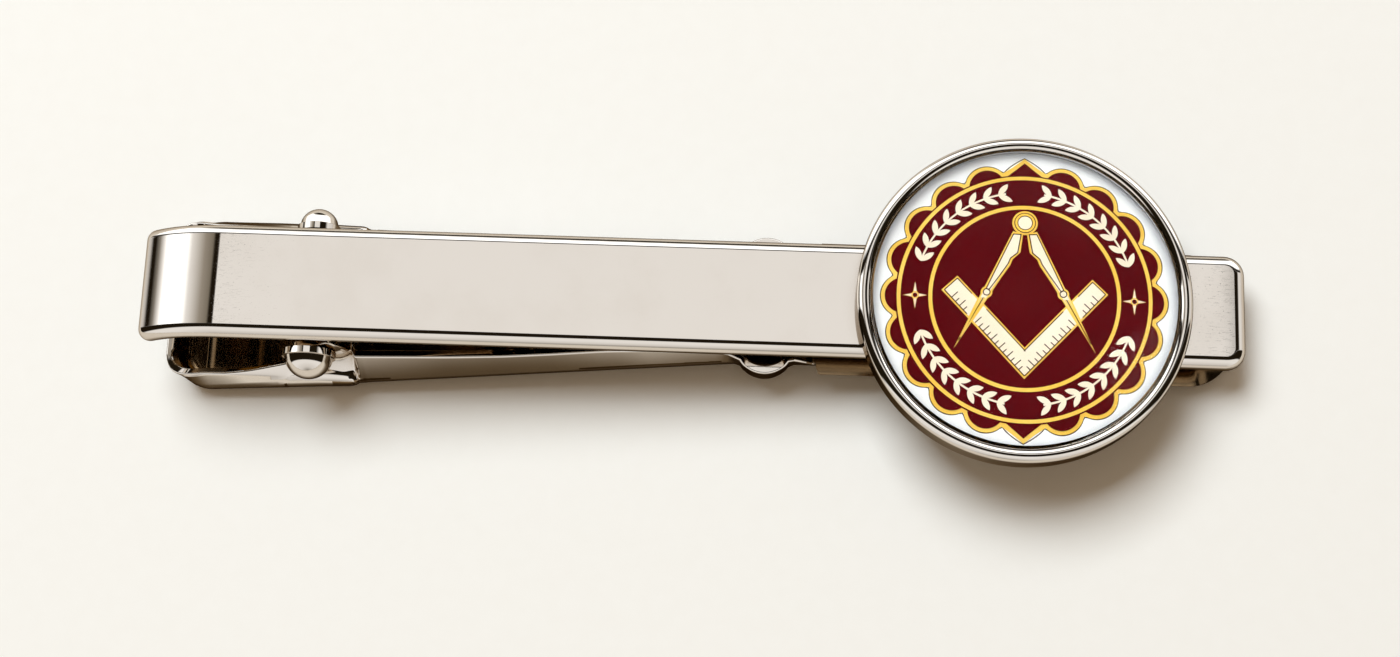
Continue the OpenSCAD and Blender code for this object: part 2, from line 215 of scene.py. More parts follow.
def soften(obj: Piece, width: float) -> None:
    """Rounds the sharp edges of a piece by a little."""
    apply_modifier(obj, "BEVEL", width=width, segments=2, limit_method="ANGLE", angle_limit=math.radians(60))


def smooth(obj: Piece, degrees: float = 32.0) -> None:
    """Shades a piece smooth, with its flats kept flat.

    Args:
        obj: The piece.
        degrees: The angle over which an edge stays sharp.
    """
    only(obj)
    bpy.ops.object.shade_smooth_by_angle(angle=math.radians(degrees))
    apply_modifier(obj, "WEIGHTED_NORMAL", mode="FACE_AREA", weight=100, keep_sharp=True)


def crown(steps: Iterable[Mark]) -> None:
    """Insets the selected end face by each thickness and raises it by each depth, so that it becomes a round end."""
    for thickness, depth in steps:
        bpy.ops.mesh.inset(thickness=thickness, depth=depth, use_even_offset=True, use_boundary=True)


def quarter_steps(radius: float, count: int, until: float = 84.0) -> list[Mark]:
    """Gives the insets that turn a flat end into a quarter round.

    Args:
        radius: The radius of the round.
        count: How many insets.
        until: The angle where the round stops short of its pole.

    Returns:
        Thickness and depth of each inset.
    """
    angles = [math.radians(until * i / count) for i in range(count + 1)]
    return [
        (radius * (math.cos(a) - math.cos(b)), radius * (math.sin(b) - math.sin(a)))
        for a, b in zip(angles, angles[1:])
    ]


def dome_steps(radius: float, rise: float, count: int, until: float = 0.985) -> list[Mark]:
    """Gives the insets that raise a shallow dome over a round face.

    Args:
        radius: Radius of the face.
        rise: Height of the dome over it.
        count: How many insets.
        until: Share of the radius that the insets cover.

    Returns:
        Thickness and depth of each inset.
    """
    ball = (radius * radius + rise * rise) / (2 * rise)
    marks = [radius * (1 - until * i / count) for i in range(count + 1)]
    heights = [math.sqrt(ball * ball - m * m) for m in marks]
    return [(a - b, g - h) for a, b, h, g in zip(marks, marks[1:], heights, heights[1:])]


def ease(value: float) -> float:
    """Blends smoothly from 0 to 1."""
    value = min(1.0, max(0.0, value))
    return value * value * (3 - 2 * value)


def along(marks: Sequence[Mark], at: float) -> float:
    """Reads a broken line at one place, and keeps its end values outside it.

    Args:
        marks: The line's corners, in rising order of place.
        at: The place.

    Returns:
        The line's value there.
    """
    if at <= marks[0][0]:
        return marks[0][1]
    for (x0, y0), (x1, y1) in zip(marks, marks[1:]):
        if at <= x1:
            return y0 + (y1 - y0) * (at - x0) / (x1 - x0)
    return marks[-1][1]


# ---------------------------------------------------------------- the clip's lie


@dataclass(frozen=True)
class Lie:
    """How the clip lies on the table: its tail and the lever's tip touch it together."""

    bar_l: float = 60.0
    bar_t: float = 1.3
    flat_x: float = 4.55
    curl_r: float = 7.0
    tail_x: float = 1.1
    tail_d: float = 6.95
    tail_r: float = 1.3
    tip_x: float = 59.2
    arm_d: float = 3.15
    tip_r: float = 1.5

    @property
    def edge_r(self) -> float:
        """Radius of the bar's round edges."""
        return self.bar_t / 2

    @property
    def curl_turn(self) -> float:
        """Turn of the curled end, in radians."""
        return math.asin((self.flat_x - self.edge_r) / (self.curl_r - self.edge_r))

    @property
    def curl_tip_z(self) -> float:
        """Height of the middle of the curled end's tip."""
        return (self.curl_r - self.edge_r) * math.cos(self.curl_turn) - self.curl_r

    @property
    def turn(self) -> float:
        """Turn of the bar about the y axis as it lies, so that a line under both feet is level.

        Returns:
            The turn in radians.
        """
        run = self.tip_x - self.tip_r - self.tail_x - self.tail_r
        rise = self.tail_d - self.tail_r - self.arm_d + self.tip_r
        return math.atan2(rise, run) + math.asin((self.tail_r - self.tip_r) / math.hypot(run, rise))

    def matrix(self) -> Matrix:
        """Gives the move from the bar's axes in millimetres to the clip as it lies, in metres.

        Returns:
            The matrix that a finished piece is placed by.
        """
        c, s = math.cos(self.turn), math.sin(self.turn)
        lift = (self.tail_x + self.tail_r) * s + (self.tail_d - self.tail_r) * c + self.tail_r
        left = self.edge_r * c + self.curl_tip_z * s - self.edge_r
        right = (self.bar_l - self.edge_r) * c - self.edge_r * s + self.edge_r
        placed = Matrix.Translation((-(left + right) / 2, 0, lift)) @ Matrix.Rotation(self.turn, 4, "Y")
        return Matrix.Scale(MM, 4) @ placed


LIE = Lie()


class Body(Enum):
    """The two bodies of the frame."""

    FRONT = "front"
    LEVER = "lever"


def settle(
    obj: Piece,
    name: str,
    body: Body,
    slot: str,
    finish: Material,
    *nodes: str,
    bend: tuple[Point, Point] | None = None,
) -> None:
    """Lays a finished piece down, dresses it and, unless a bend is given, lets it ride on its body.

    Args:
        obj: The piece, in the bar's axes.
        name: Its name.
        body: The body that it rides on.
        slot: A material slot's name; not used.
        finish: Its material.
        *nodes: The frame's nodes that it stands for.
        bend: Two places in the bar's axes round a springy piece's bend; only whether they are given is read, and such a
            piece rides on no body.
    """
    only(obj)
    obj.matrix_world = LIE.matrix() @ obj.matrix_world
    bpy.ops.object.transform_apply(location=True, rotation=True, scale=True)
    obj.name = obj.data.name = name
    obj.data.materials.clear()
    obj.data.materials.append(finish)
    if bend is None:
        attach(obj, body.value)
    else:
        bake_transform(obj)
    if nodes:
        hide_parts(*nodes)
    LOG.info("%s: %d faces on %s", name, len(obj.data.polygons), body.value)


def join(first: Piece, *others: Piece) -> Piece:
    """Joins pieces of one body.

    Args:
        first: The piece that the others become part of.
        *others: The others.

    Returns:
        The first piece.
    """
    only(first)
    for other in others:
        other.select_set(True)
    bpy.ops.object.join()
    return first


# ---------------------------------------------------------------- shader nodes


def feed(tree: Tree, node: bpy.types.Node, inputs: dict[str | int, object]) -> None:
    """Sets a node's inputs, or links the sockets that are given for them.

    Args:
        tree: The node tree.
        node: The node.
        inputs: Each input's value, or the socket that feeds it.
    """
    for key, value in inputs.items():
        if isinstance(value, Socket):
            tree.links.new(value, node.inputs[key])
        else:
            node.inputs[key].default_value = value


def put(tree: Tree, kind: str, inputs: dict[str | int, object] | None = None, **settings: object) -> bpy.types.Node:
    """Adds a node with its settings, and with its inputs set or linked.

    Args:
        tree: The node tree.
        kind: The node's type without its ShaderNode.
        inputs: Each input's value, or the socket that feeds it.
        **settings: The node's own values.

    Returns:
        The node.
    """
    node = tree.nodes.new("ShaderNode" + kind)
    for name, value in settings.items():
        setattr(node, name, value)
    feed(tree, node, inputs or {})
    return node


def maths(tree: Tree, operation: str, *values: object, clamp: bool = False) -> Socket:
    """Adds a Math node and gives its output."""
    return put(tree, "Math", dict(enumerate(values)), operation=operation, use_clamp=clamp).outputs[0]


def span(tree: Tree, value: Socket, low: float, high: float, to_low: float = 0.0, to_high: float = 1.0) -> Socket:
    """Maps a range of a value to another, smoothly and clamped, and gives the output."""
    ends = {"Value": value, "From Min": low, "From Max": high, "To Min": to_low, "To Max": to_high}
    return put(tree, "MapRange", ends, interpolation_type="SMOOTHSTEP").outputs["Result"]


def mix(tree: Tree, share: Socket, first: Colour | Socket, second: Colour | Socket) -> Socket:
    """Mixes two colours by a share of the second and gives the output."""
    a, b = (c if isinstance(c, Socket) else (*c, 1.0) for c in (first, second))
    return put(tree, "Mix", {"Factor": share, 6: a, 7: b}, data_type="RGBA").outputs[2]


def noise(tree: Tree, place: Socket, scale: float | Socket, detail: float, **more: float) -> Socket:
    """Adds a noise texture and gives its value."""
    return put(tree, "TexNoise", {"Vector": place, "Scale": scale, "Detail": detail, **more}).outputs["Fac"]


def on_object(tree: Tree) -> Socket:
    """Gives the place on the object that is shaded, which textures are laid on."""
    return put(tree, "TexCoord").outputs["Object"]


def new_group(name: str, ins: dict[str, float], outs: Iterable[str]) -> Tree:
    """Makes an empty shader node group, all of whose sockets carry a number.

    Args:
        name: The group's name.
        ins: Each input's default.
        outs: The outputs' names.

    Returns:
        The group.
    """
    tree = bpy.data.node_groups.new(name, "ShaderNodeTree")
    for label, value in ins.items():
        tree.interface.new_socket(label, in_out="INPUT", socket_type="NodeSocketFloat").default_value = value
    for label in outs:
        tree.interface.new_socket(label, in_out="OUTPUT", socket_type="NodeSocketFloat")
    tree.nodes.new("NodeGroupInput").name = "in"
    tree.nodes.new("NodeGroupOutput").name = "out"
    return tree


def use_group(tree: Tree, name: str, **values: float) -> bpy.types.NodeOutputs:
    """Places a group in a material with its own values.

    Args:
        tree: The material's nodes.
        name: The group's name.
        **values: Inputs that differ from their defaults, named with _ for a space.

    Returns:
        The group's outputs.
    """
    node = put(tree, "Group", node_tree=bpy.data.node_groups[name])
    feed(tree, node, {label.replace("_", " "): value for label, value in values.items()})
    return node.outputs


@dataclass(frozen=True)
class PolishWear:
    """The node group for polished metal: hairlines from wiping, a faint unevenness, specks, and a mask of the hollows
    where shade is painted.

    Scales are per metre, and each range is where a noise or the open sky turns from none to all.
    """

    line_scale: Point = (900.0, 26000.0, 26000.0)
    line_turn: float = 0.06
    line_range: Mark = (0.58, 0.78)
    cloud_range: Mark = (0.38, 0.72)
    cloud_share: float = 0.35
    speck_scale: float = 9000.0
    speck_range: Mark = (0.7, 0.8)
    speck_rise: float = 0.4
    hollow_reach: float = 4 * MM
    hollow_range: Mark = (0.26, 0.6)

    def make(self) -> None:
        """Builds the group, which puts out a cloudiness mask, a mask of the hollows for painted shade, a roughness and
        a height.
        """
        tree = new_group(
            "polish_wear",
            {"Hairline": 0.3, "Cloud Scale": 300.0, "Smoothest": 0.05, "Roughest": 0.14},
            ("Cloud", "Hollow Shade", "Roughness", "Height"),
        )
        start, place = tree.nodes["in"].outputs, on_object(tree)
        mapping = {"Vector": place, "Scale": self.line_scale, "Rotation": (0, 0, self.line_turn)}
        brushed = put(tree, "Mapping", mapping).outputs[0]
        lines = span(tree, noise(tree, brushed, scale=1.0, detail=3.0, Roughness=0.6), *self.line_range)
        mist = span(tree, noise(tree, place, start["Cloud Scale"], detail=4.0), *self.cloud_range)
        dots = span(tree, noise(tree, place, self.speck_scale, detail=1.0), *self.speck_range)
        worn = maths(tree, "MULTIPLY", lines, start["Hairline"])
        both = maths(tree, "ADD", worn, maths(tree, "MULTIPLY", mist, self.cloud_share), clamp=True)
        rough = put(tree, "MapRange", {"Value": both, "To Min": start["Smoothest"], "To Max": start["Roughest"]})
        # The open sky marks the hollows, which the finishes darken with painted shade.
        open_sky = put(tree, "AmbientOcclusion", {"Distance": self.hollow_reach}, samples=8).outputs["AO"]
        masks = {
            "Cloud": mist,
            "Hollow Shade": span(tree, open_sky, *self.hollow_range, 1.0, 0.0),
            "Roughness": rough.outputs["Result"],
            "Height": maths(tree, "SUBTRACT", maths(tree, "MULTIPLY", dots, self.speck_rise), worn),
        }
        feed(tree, tree.nodes["out"], masks)


@dataclass(frozen=True)
class PrintGrain:
    """The node group for printed ink: its fine dither and the unevenness of its density."""

    dot_range: Mark = (0.2, 0.6)
    density_range: Mark = (0.35, 0.68)

    def make(self) -> None:
        """Builds the group, which puts out a mask of the dither and one of the density."""
        tree = new_group("print_grain", {"Dot Scale": 14000.0, "Density Scale": 420.0}, ("Dither", "Density"))
        start, place = tree.nodes["in"].outputs, on_object(tree)
        dots = put(tree, "TexVoronoi", {"Vector": place, "Scale": start["Dot Scale"]}, feature="F1")
        grain = noise(tree, place, start["Density Scale"], detail=5.0)
        masks = {
            "Dither": span(tree, dots.outputs["Distance"], *self.dot_range),
            "Density": span(tree, grain, *self.density_range),
        }
        feed(tree, tree.nodes["out"], masks)


# ---------------------------------------------------------------- finishes


@dataclass(frozen=True)
class Finish:
    """A finish: a Principled shader, for which each kind of finish gives the inputs."""

    name: str

    def inputs(self, tree: Tree) -> dict[str, object]:
        """Gives each input of the shader as a value, or as a socket of nodes added to the material's tree."""
        raise NotImplementedError

    def make(self) -> Material:
        """Makes the material.

        Returns:
            The material.
        """
        material = bpy.data.materials.new(self.name)
        material.use_nodes = True
        tree = material.node_tree
        feed(tree, tree.nodes["Principled BSDF"], self.inputs(tree))
        return material


@dataclass(frozen=True)
class PlatedMetal(Finish):
    """Polished plating, with a colour for its clear and its cloudy places, one of painted shade for its hollows, and a
    dark one at a glance that paints shade into grazing reflections.
    """

    clear: Colour
    cloudy: Colour
    smoothest: float
    roughest: float
    hairline: float
    bump: float
    # Painted shade at a glance: a dark brown edge tint that darkens grazing reflections.
    edge: Colour = (0.36, 0.29, 0.21)
    # Painted shade: the dark brown that the hollows are darkened to.
    painted_hollow_shade: Colour = (0.34, 0.23, 0.12)
    bump_height: float = 0.004 * MM

    def inputs(self, tree: Tree) -> dict[str, object]:
        """Gives the inputs: the polish group colours and roughens the metal and paints shade into its hollows, and its
        lines and specks stand up.

        Args:
            tree: The material's nodes.

        Returns:
            The inputs by name.
        """
        worn = use_group(
            tree, "polish_wear", Hairline=self.hairline, Smoothest=self.smoothest, Roughest=self.roughest
        )
        tint = mix(tree, worn["Cloud"], self.clear, self.cloudy)
        bump = put(tree, "Bump", {"Height": worn["Height"], "Strength": self.bump, "Distance": self.bump_height})
        return {
            # Painted shade: the hollows' mask darkens the base colour.
            "Base Color": mix(tree, worn["Hollow Shade"], tint, self.painted_hollow_shade),
            "Roughness": worn["Roughness"],
            "Normal": bump.outputs["Normal"],
            "Metallic": 1.0,
            # Painted shade: the dark edge tint darkens the metal's glancing reflections.
            "Specular Tint": (*self.edge, 1.0),
        }


@dataclass(frozen=True)
class ClearGlass(Finish):
    """The clear glass of the cabochon, with the faint haze of fingers on it."""

    body: Colour = (0.985, 0.99, 0.99)
    ior: float = 1.45
    shine: Colour = (0.045, 0.045, 0.045)
    haze_scale: float = 260.0
    haze_range: Mark = (0.5, 0.75)
    roughness: Mark = (0.0, 0.02)

    def inputs(self, tree: Tree) -> dict[str, object]:
        """Gives the inputs: the haze roughens the glass in patches.

        Args:
            tree: The material's nodes.

        Returns:
            The inputs by name.
        """
        haze = noise(tree, on_object(tree), self.haze_scale, detail=5.0, Distortion=0.8)
        return {
            "Roughness": span(tree, haze, *self.haze_range, *self.roughness),
            "Base Color": (*self.body, 1.0),
            "IOR": self.ior,
            "Specular Tint": (*self.shine, 1.0),
            "Transmission Weight": 1.0,
        }


@dataclass(frozen=True)
class PrintStock(Finish):
    """The white printed ground, with a painted shade that greys it towards its rim, round a centre in metres."""

    centre: Point
    white: Colour = (0.93, 0.925, 0.915)
    # The painted shade towards the rim: its colour, where it starts and its strength.
    rim_painted_shade: Colour = (0.58, 0.6, 0.63)
    rim_from: float = 0.925
    rim_share: float = 0.9
    unevenness: float = 0.05

    def inputs(self, tree: Tree) -> dict[str, object]:
        """Gives the inputs: a painted shade by the reach from the centre and the print's density grey the white.

        Args:
            tree: The material's nodes.

        Returns:
            The inputs by name.
        """
        centred = put(tree, "Mapping", {"Vector": on_object(tree), "Location": tuple(-c for c in self.centre)})
        reach = put(tree, "VectorMath", {0: centred.outputs[0]}, operation="LENGTH").outputs["Value"]
        # Painted shade: the white greys towards the rim of the glass.
        rim = span(tree, maths(tree, "DIVIDE", reach, GLASS_R * MM), self.rim_from, 1.0, 0.0, self.rim_share)
        uneven = maths(tree, "MULTIPLY", use_group(tree, "print_grain")["Density"], self.unevenness)
        grey = maths(tree, "ADD", rim, uneven, clamp=True)
        return {
            "Base Color": mix(tree, grey, self.white, self.rim_painted_shade),
            "Roughness": 0.5,
            "Specular IOR Level": 0.03,
        }


@dataclass(frozen=True)
class Ink(Finish):
    """A printed ink: its full colour, its thin colour and how much of its dither and its density shows."""

    full: Colour
    thin: Colour
    dither: float = 0.25
    density: float = 0.4

    def inputs(self, tree: Tree) -> dict[str, object]:
        """Gives the inputs: the print group thins the ink.

        Args:
            tree: The material's nodes.

        Returns:
            The inputs by name.
        """
        printed = use_group(tree, "print_grain")
        dots = maths(tree, "MULTIPLY", printed["Dither"], self.dither)
        thinned = maths(tree, "ADD", dots, maths(tree, "MULTIPLY", printed["Density"], self.density), clamp=True)
        return {
            "Base Color": mix(tree, thinned, self.full, self.thin),
            "Roughness": 0.42,
            "Specular IOR Level": 0.03,
        }


@dataclass(frozen=True)
class PaleBoard(Finish):
    """The pale board under the clip, with the faintest unevenness; metal mirrors it with a painted shadow beside the
    clip and a painted, dimmer board beyond.
    """

    pale: Colour = (0.9, 0.885, 0.86)
    palest: Colour = (0.92, 0.91, 0.89)
    # What the metal mirrors: a painted shadow beside the clip and a painted, dimmer board.
    under: Colour = (0.13, 0.09, 0.05)
    board: Colour = (0.66, 0.6, 0.53)
    grain_scale: float = 900.0
    half_l: float = 23.5 * MM
    shade_from: float = 6 * MM
    shade_to: float = 10.5 * MM

    def inputs(self, tree: Tree) -> dict[str, object]:
        """Gives the inputs: what is mirrored runs from a painted shadow to a painted, dimmer board by distance from the
        clip's middle line.

        Args:
            tree: The material's nodes.

        Returns:
            The inputs by name.
        """
        place = on_object(tree)
        tint = mix(tree, noise(tree, place, self.grain_scale, detail=3.0), self.pale, self.palest)
        x, y = put(tree, "SeparateXYZ", {0: place}).outputs[:2]
        beyond_end = maths(tree, "SUBTRACT", maths(tree, "ABSOLUTE", x), self.half_l)
        away = maths(tree, "MAXIMUM", maths(tree, "ABSOLUTE", y), beyond_end)
        # Painted shadow and dimmer board, seen only in the metal's reflections.
        mirrored_shade = mix(tree, span(tree, away, self.shade_from, self.shade_to), self.under, self.board)
        mirrored = put(tree, "LightPath").outputs["Is Glossy Ray"]
        return {
            "Base Color": mix(tree, mirrored, tint, mirrored_shade),
            "Roughness": 0.75,
            "Specular IOR Level": 0.2,
        }


# ---------------------------------------------------------------- the front


@dataclass
class FrontBar:
    """The bar with its curled end, the round setting on it and the two lugs of its hinge."""

    metal: Material
    width: float = 6.3
    corner: float = 1.1
    setting_r: float = 8.9
    bore_r: float = 8.12
    rim_h: float = 1.6
    lug_r: float = 1.15
    lug_in: float = 1.8
    lug_out: float = 2.65
    lug_sunk: float = 0.3
    lug_share: float = 0.999
    lug_round: float = 0.06
    corner_cuts: int = 8
    curl_steps: int = 28
    round_steps: int = 10
    lug_cuts: int = 14
    bead_points: int = 40
    setting_steps: int = 192

    def strip(self) -> Piece:
        """Models the bar itself from a block: edges rounded, one end curled round and closed with a round tip.

        Returns:
            The piece, in the bar's axes.
        """
        left, right, half, thick = LIE.flat_x, LIE.bar_l, self.width / 2, LIE.bar_t
        obj = block(((left + right) / 2, 0, -thick / 2), (right - left, self.width, thick))
        edit(obj, "EDGE")
        pick(obj, "edges", lambda a, b: min(a.x, b.x) > right - NEAR and abs(a.z - b.z) > LONG)
        bevel(self.corner, self.corner_cuts)

        def outer(v: Vector) -> bool:
            """Tells whether a corner lies on the outline of the face or the back."""
            level = abs(abs(v.z + thick / 2) - thick / 2) < NEAR
            return level and (abs(v.y) > half - NEAR or v.x > right - self.corner - NEAR)

        pick(
            obj,
            "edges",
            lambda a, b: outer(a) and outer(b) and abs(a.z - b.z) < NEAR and max(a.x, b.x) > left + NEAR,
        )
        bevel(LIE.edge_r, self.round_steps)
        merge(distance=0.002)
        bpy.ops.mesh.select_all(action="DESELECT")
        bpy.ops.mesh.select_mode(type="FACE")
        pick(obj, "faces", lambda c, n: n.x < -SQUARE and c.x < left + NEAR)
        bpy.ops.mesh.spin(
            steps=self.curl_steps, angle=LIE.curl_turn, center=(left, 0, -LIE.curl_r), axis=(0, 1, 0)
        )
        crown(quarter_steps(LIE.edge_r, self.round_steps))
        leave()
        return obj

    def setting(self) -> Piece:
        """Models the round setting: a profile with a bead for its rim, spun round the medallion's middle.

        Returns:
            The piece, in the bar's axes.
        """
        clear()
        bead = (self.setting_r - self.bore_r) / 2
        level = self.rim_h - bead
        bpy.ops.mesh.primitive_circle_add(
            radius=bead,
            vertices=self.bead_points,
            location=(MEDAL_X + self.bore_r + bead, 0, level),
            rotation=(math.pi / 2, 0, 0),
        )
        obj = fresh()
        edit(obj)
        pick(obj, "verts", lambda v: v.z < level - NEAR)
        bpy.ops.mesh.delete(type="VERT")
        for radius, low in ((self.bore_r, DISC_Z), (self.setting_r, 0.0)):
            pick(obj, "verts", lambda v, x=MEDAL_X + radius: abs(v.x - x) < NEAR and abs(v.z - level) < NEAR)
            for way in ((0, 0, low - level), (-radius, 0, 0)):
                bpy.ops.mesh.extrude_vertices_move(TRANSFORM_OT_translate={"value": way})
        bpy.ops.mesh.select_all(action="SELECT")
        bpy.ops.mesh.spin(steps=self.setting_steps, angle=2 * math.pi, center=(MEDAL_X, 0, 0), axis=(0, 0, 1))
        merge()
        leave()
        return obj

    def lug(self, side: int) -> Piece:
        """Models one lug: a block under the bar whose foot is rounded about the pin.

        Args:
            side: 1 for the far lug and -1 for the near one.

        Returns:
            The piece, in the bar's axes.
        """
        top, bottom = self.lug_sunk - LIE.bar_t, PIN_Z - self.lug_r
        obj = block(
            (PIN_X, side * (self.lug_in + self.lug_out) / 2, (top + bottom) / 2),
            (2 * self.lug_r, self.lug_out - self.lug_in, top - bottom),
        )
        edit(obj, "EDGE")
        pick(obj, "edges", lambda a, b: max(a.z, b.z) < bottom + NEAR and abs(a.y - b.y) > LONG)
        bevel(self.lug_r * self.lug_share, self.lug_cuts)
        merge()
        leave()
        soften(obj, self.lug_round)
        return obj

    def build(self) -> None:
        """Builds the bar, the setting and the lugs, all standing for the one soldered node."""
        pieces = (
            (self.strip(), "bar_strip", 32),
            (self.setting(), "medal_setting", 50),
            (join(self.lug(-1), self.lug(1)), "hinge_lugs", 32),
        )
        for obj, name, sharp in pieces:
            smooth(obj, sharp)
            settle(obj, name, Body.FRONT, "polished_plate", self.metal, "front_bar")


@dataclass
class Medallion:
    """The glass cabochon over its printed disc."""

    glass: Material
    stock: Material
    disc_t: float = 0.12
    glass_z: float = 0.76
    edge_h: float = 0.85
    dome_h: float = 1.344
    points: int = 160
    dome_cuts: int = 24

    def blank(self, z: float, height: float) -> Piece:
        """Models a round blank of the glass's radius: a circle drawn up to its height.

        Args:
            z: The height of its underside.
            height: Its thickness.

        Returns:
            The piece, in edit mode with its top face selected.
        """
        clear()
        bpy.ops.mesh.primitive_circle_add(
            radius=GLASS_R, vertices=self.points, fill_type="NGON", location=(MEDAL_X, 0, z)
        )
        obj = fresh()
        edit(obj, "FACE")
        bpy.ops.mesh.select_all(action="SELECT")
        push(z=height)
        return obj

    def build(self) -> None:
        """Builds the disc and the dome of glass."""
        disc = self.blank(DISC_Z, self.disc_t)
        merge()
        leave()
        smooth(disc)
        settle(disc, "printed_ground", Body.FRONT, "white_print", self.stock, "printed_disc")
        dome = self.blank(self.glass_z, self.edge_h)
        crown(dome_steps(GLASS_R, self.dome_h, self.dome_cuts))
        bpy.ops.mesh.merge(type="CENTER")
        merge()
        leave()
        smooth(dome, degrees=40)
        settle(dome, "glass_dome", Body.FRONT, "clear_glass", self.glass, "glass_cabochon")


@dataclass
class Emblem:
    """The printed emblem: its flat layers are the frame's own nodes, and its fine line work lies over them.

    Its places are measured from the emblem's middle.
    """

    inks: dict[str, Material]
    dark: Material
    ink_t: float = 0.008
    line: float = 0.055
    thin: float = 0.8
    ring_points: int = 48
    lobes: int = 20
    lobe_points: int = 18
    valley_r: float = 6.92
    crest_r: float = 7.48
    point_r: float = 7.7
    point_curve: float = 0.85
    lobe_spare: float = 0.05
    pivot: Mark = (0.0, 4.02)
    pivot_lines: Mark = (0.56, 0.4)
    pivot_gilt: Mark = (0.515, 0.115)
    joint: Mark = (1.97, 0.23)
    joint_r: float = 0.2
    tip: Mark = (3.64, -2.8)
    tip_gilt: Mark = (0.09, 0.07)
    tip_run: Point = (0.1, 0.8, 0.86)
    tip_w: float = 0.3
    tip_taper: float = 0.16
    leg: tuple[Mark, ...] = (
        (0.18, 3.4), (0.62, 3.42), (2.02, 0.42), (1.86, 0.3), (1.29, 1.1), (0.85, 1.76), (0.73, 2.06), (0.36, 2.36),
    )
    apex_y: float = -4.3
    arm_turn: float = 47.0
    arm_w: float = 1.12
    arm_l: float = 6.3
    inset: float = 0.1
    inner_corners: Mark = (1.1, 0.9)
    edge_parts: int = 14
    tick_parts: int = 2
    tick_end: float = 0.7
    tick: float = 0.44
    short_tick: float = 0.6
    tick_pitch: float = 0.3
    tick_from: float = 0.55
    star_x: float = 5.68
    star_ring: Mark = (0.2, 0.06)

    def ring(self, at: Mark, radius: float, width: float) -> Piece:
        """Models a printed ring round a place."""
        turns = [2 * math.pi * i / self.ring_points for i in range(self.ring_points)]
        return self.band([(at[0] + radius * math.cos(a), at[1] + radius * math.sin(a)) for a in turns], width)

    def band(self, path: list[Mark], width: float, z: float = INK_TOP_Z) -> Piece:
        """Models a closed printed line: a face on the path, inset by the line's width, its middle taken out.

        Args:
            path: The line's outer corners.
            width: The line's width.
            z: The height of its underside.

        Returns:
            The piece, in the bar's axes.
        """
        clear()
        bpy.ops.mesh.primitive_circle_add(radius=1, vertices=len(path), fill_type="NGON")
        obj = bpy.context.object
        for v, (x, y) in zip(obj.data.vertices, path):
            v.co = (MEDAL_X + x, y, z)
        edit(obj, "FACE")
        bpy.ops.mesh.select_all(action="SELECT")
        bpy.ops.mesh.inset(thickness=width, use_even_offset=True)
        bpy.ops.mesh.delete(type="FACE")
        self.thicken()
        return obj

    def thicken(self) -> None:
        """Gives the flat line in edit mode its thickness and closes it."""
        bpy.ops.mesh.select_all(action="SELECT")
        push(z=self.ink_t)
        merge(distance=0.0002)
        leave()

    def stroke(self, a: Vector, b: Vector, width: float) -> Piece:
        """Models a straight printed stroke: a small plane drawn out along its way.

        Args:
            a: One end.
            b: The other end.
            width: The stroke's width.

        Returns:
            The piece, in the bar's axes.
        """
        clear()
        run, middle = b - a, (a + b) / 2
        bpy.ops.mesh.primitive_plane_add(
            size=1, location=(MEDAL_X + middle.x, middle.y, INK_TOP_Z), rotation=(0, 0, math.atan2(run.y, run.x))
        )
        bpy.context.object.scale = (run.length, width, 1)
        obj = fresh()
        edit(obj, "FACE")
        self.thicken()
        return obj

    def free(self, p: Vector) -> bool:
        """Tells whether a place on the square is clear of the compasses' points that lie over it.

        Args:
            p: The place.

        Returns:
            True where nothing lies over it.
        """
        run, off = Vector(self.tip) - Vector(self.joint), Vector((abs(p.x), p.y)) - Vector(self.joint)
        share = min(1.0, max(0.0, off.dot(run) / run.length_squared))
        return (off - run * share).length > self.tip_w - self.tip_taper * share

    def square_lines(self) -> list[Piece]:
        """Models the inner outline of the square and the graduations along its outer edges.

        Returns:
            The strokes.
        """
        turn, m = math.radians(self.arm_turn), self.inset
        run, across = Vector((math.cos(turn), math.sin(turn))), Vector((-math.sin(turn), math.cos(turn)))
        far, top = self.arm_l - m, self.arm_w - m
        low, high = self.inner_corners
        corners = ((low * m, m), (far, m), (far, top), (self.arm_w - high * m, top))
        lines = [(*pair, self.edge_parts) for pair in zip(corners, corners[1:])]
        for i in range(int((self.arm_l - self.tick_end) / self.tick_pitch)):
            at = self.tick_from + i * self.tick_pitch
            length = self.tick * (1.0 if i % 2 else self.short_tick)
            lines.append(((at, m), (at, m + length), self.tick_parts))
        strokes = []
        for side in (-1, 1):
            for (x0, y0), (x1, y1), parts in lines:
                a, b = run * x0 + across * y0, run * x1 + across * y1
                for i in range(parts):
                    drawn = [a.lerp(b, number / parts) for number in (i, i + 1)]
                    ends = [Vector((side * v.x, v.y + self.apex_y)) for v in drawn]
                    if all(self.free(end) for end in ends):
                        strokes.append(self.stroke(*ends, self.line))
        return strokes

    def rosette(self) -> list[Mark]:
        """Gives the outline just outside the scalloped border.

        Returns:
            The outline's points.
        """
        step = 2 * math.pi / self.lobes
        lobe = self.valley_r * math.tan(step / 2) + self.lobe_spare
        middle = self.crest_r - lobe
        count = self.lobes * self.lobe_points
        path = []
        for number in range(count):
            a = 2 * math.pi * number / count
            off = (a - math.pi / 2 + step / 2) % step - step / 2
            reach = middle * math.cos(off) + math.sqrt(max(0.0, lobe**2 - (middle * math.sin(off)) ** 2))
            if abs(math.cos(a)) < math.sin(step / 2):
                reach = self.valley_r + (self.point_r - self.valley_r) * (1 - abs(off) / (step / 2)) ** self.point_curve
            reach = max(self.valley_r, reach) + self.line
            path.append((reach * math.cos(a), reach * math.sin(a)))
        return path

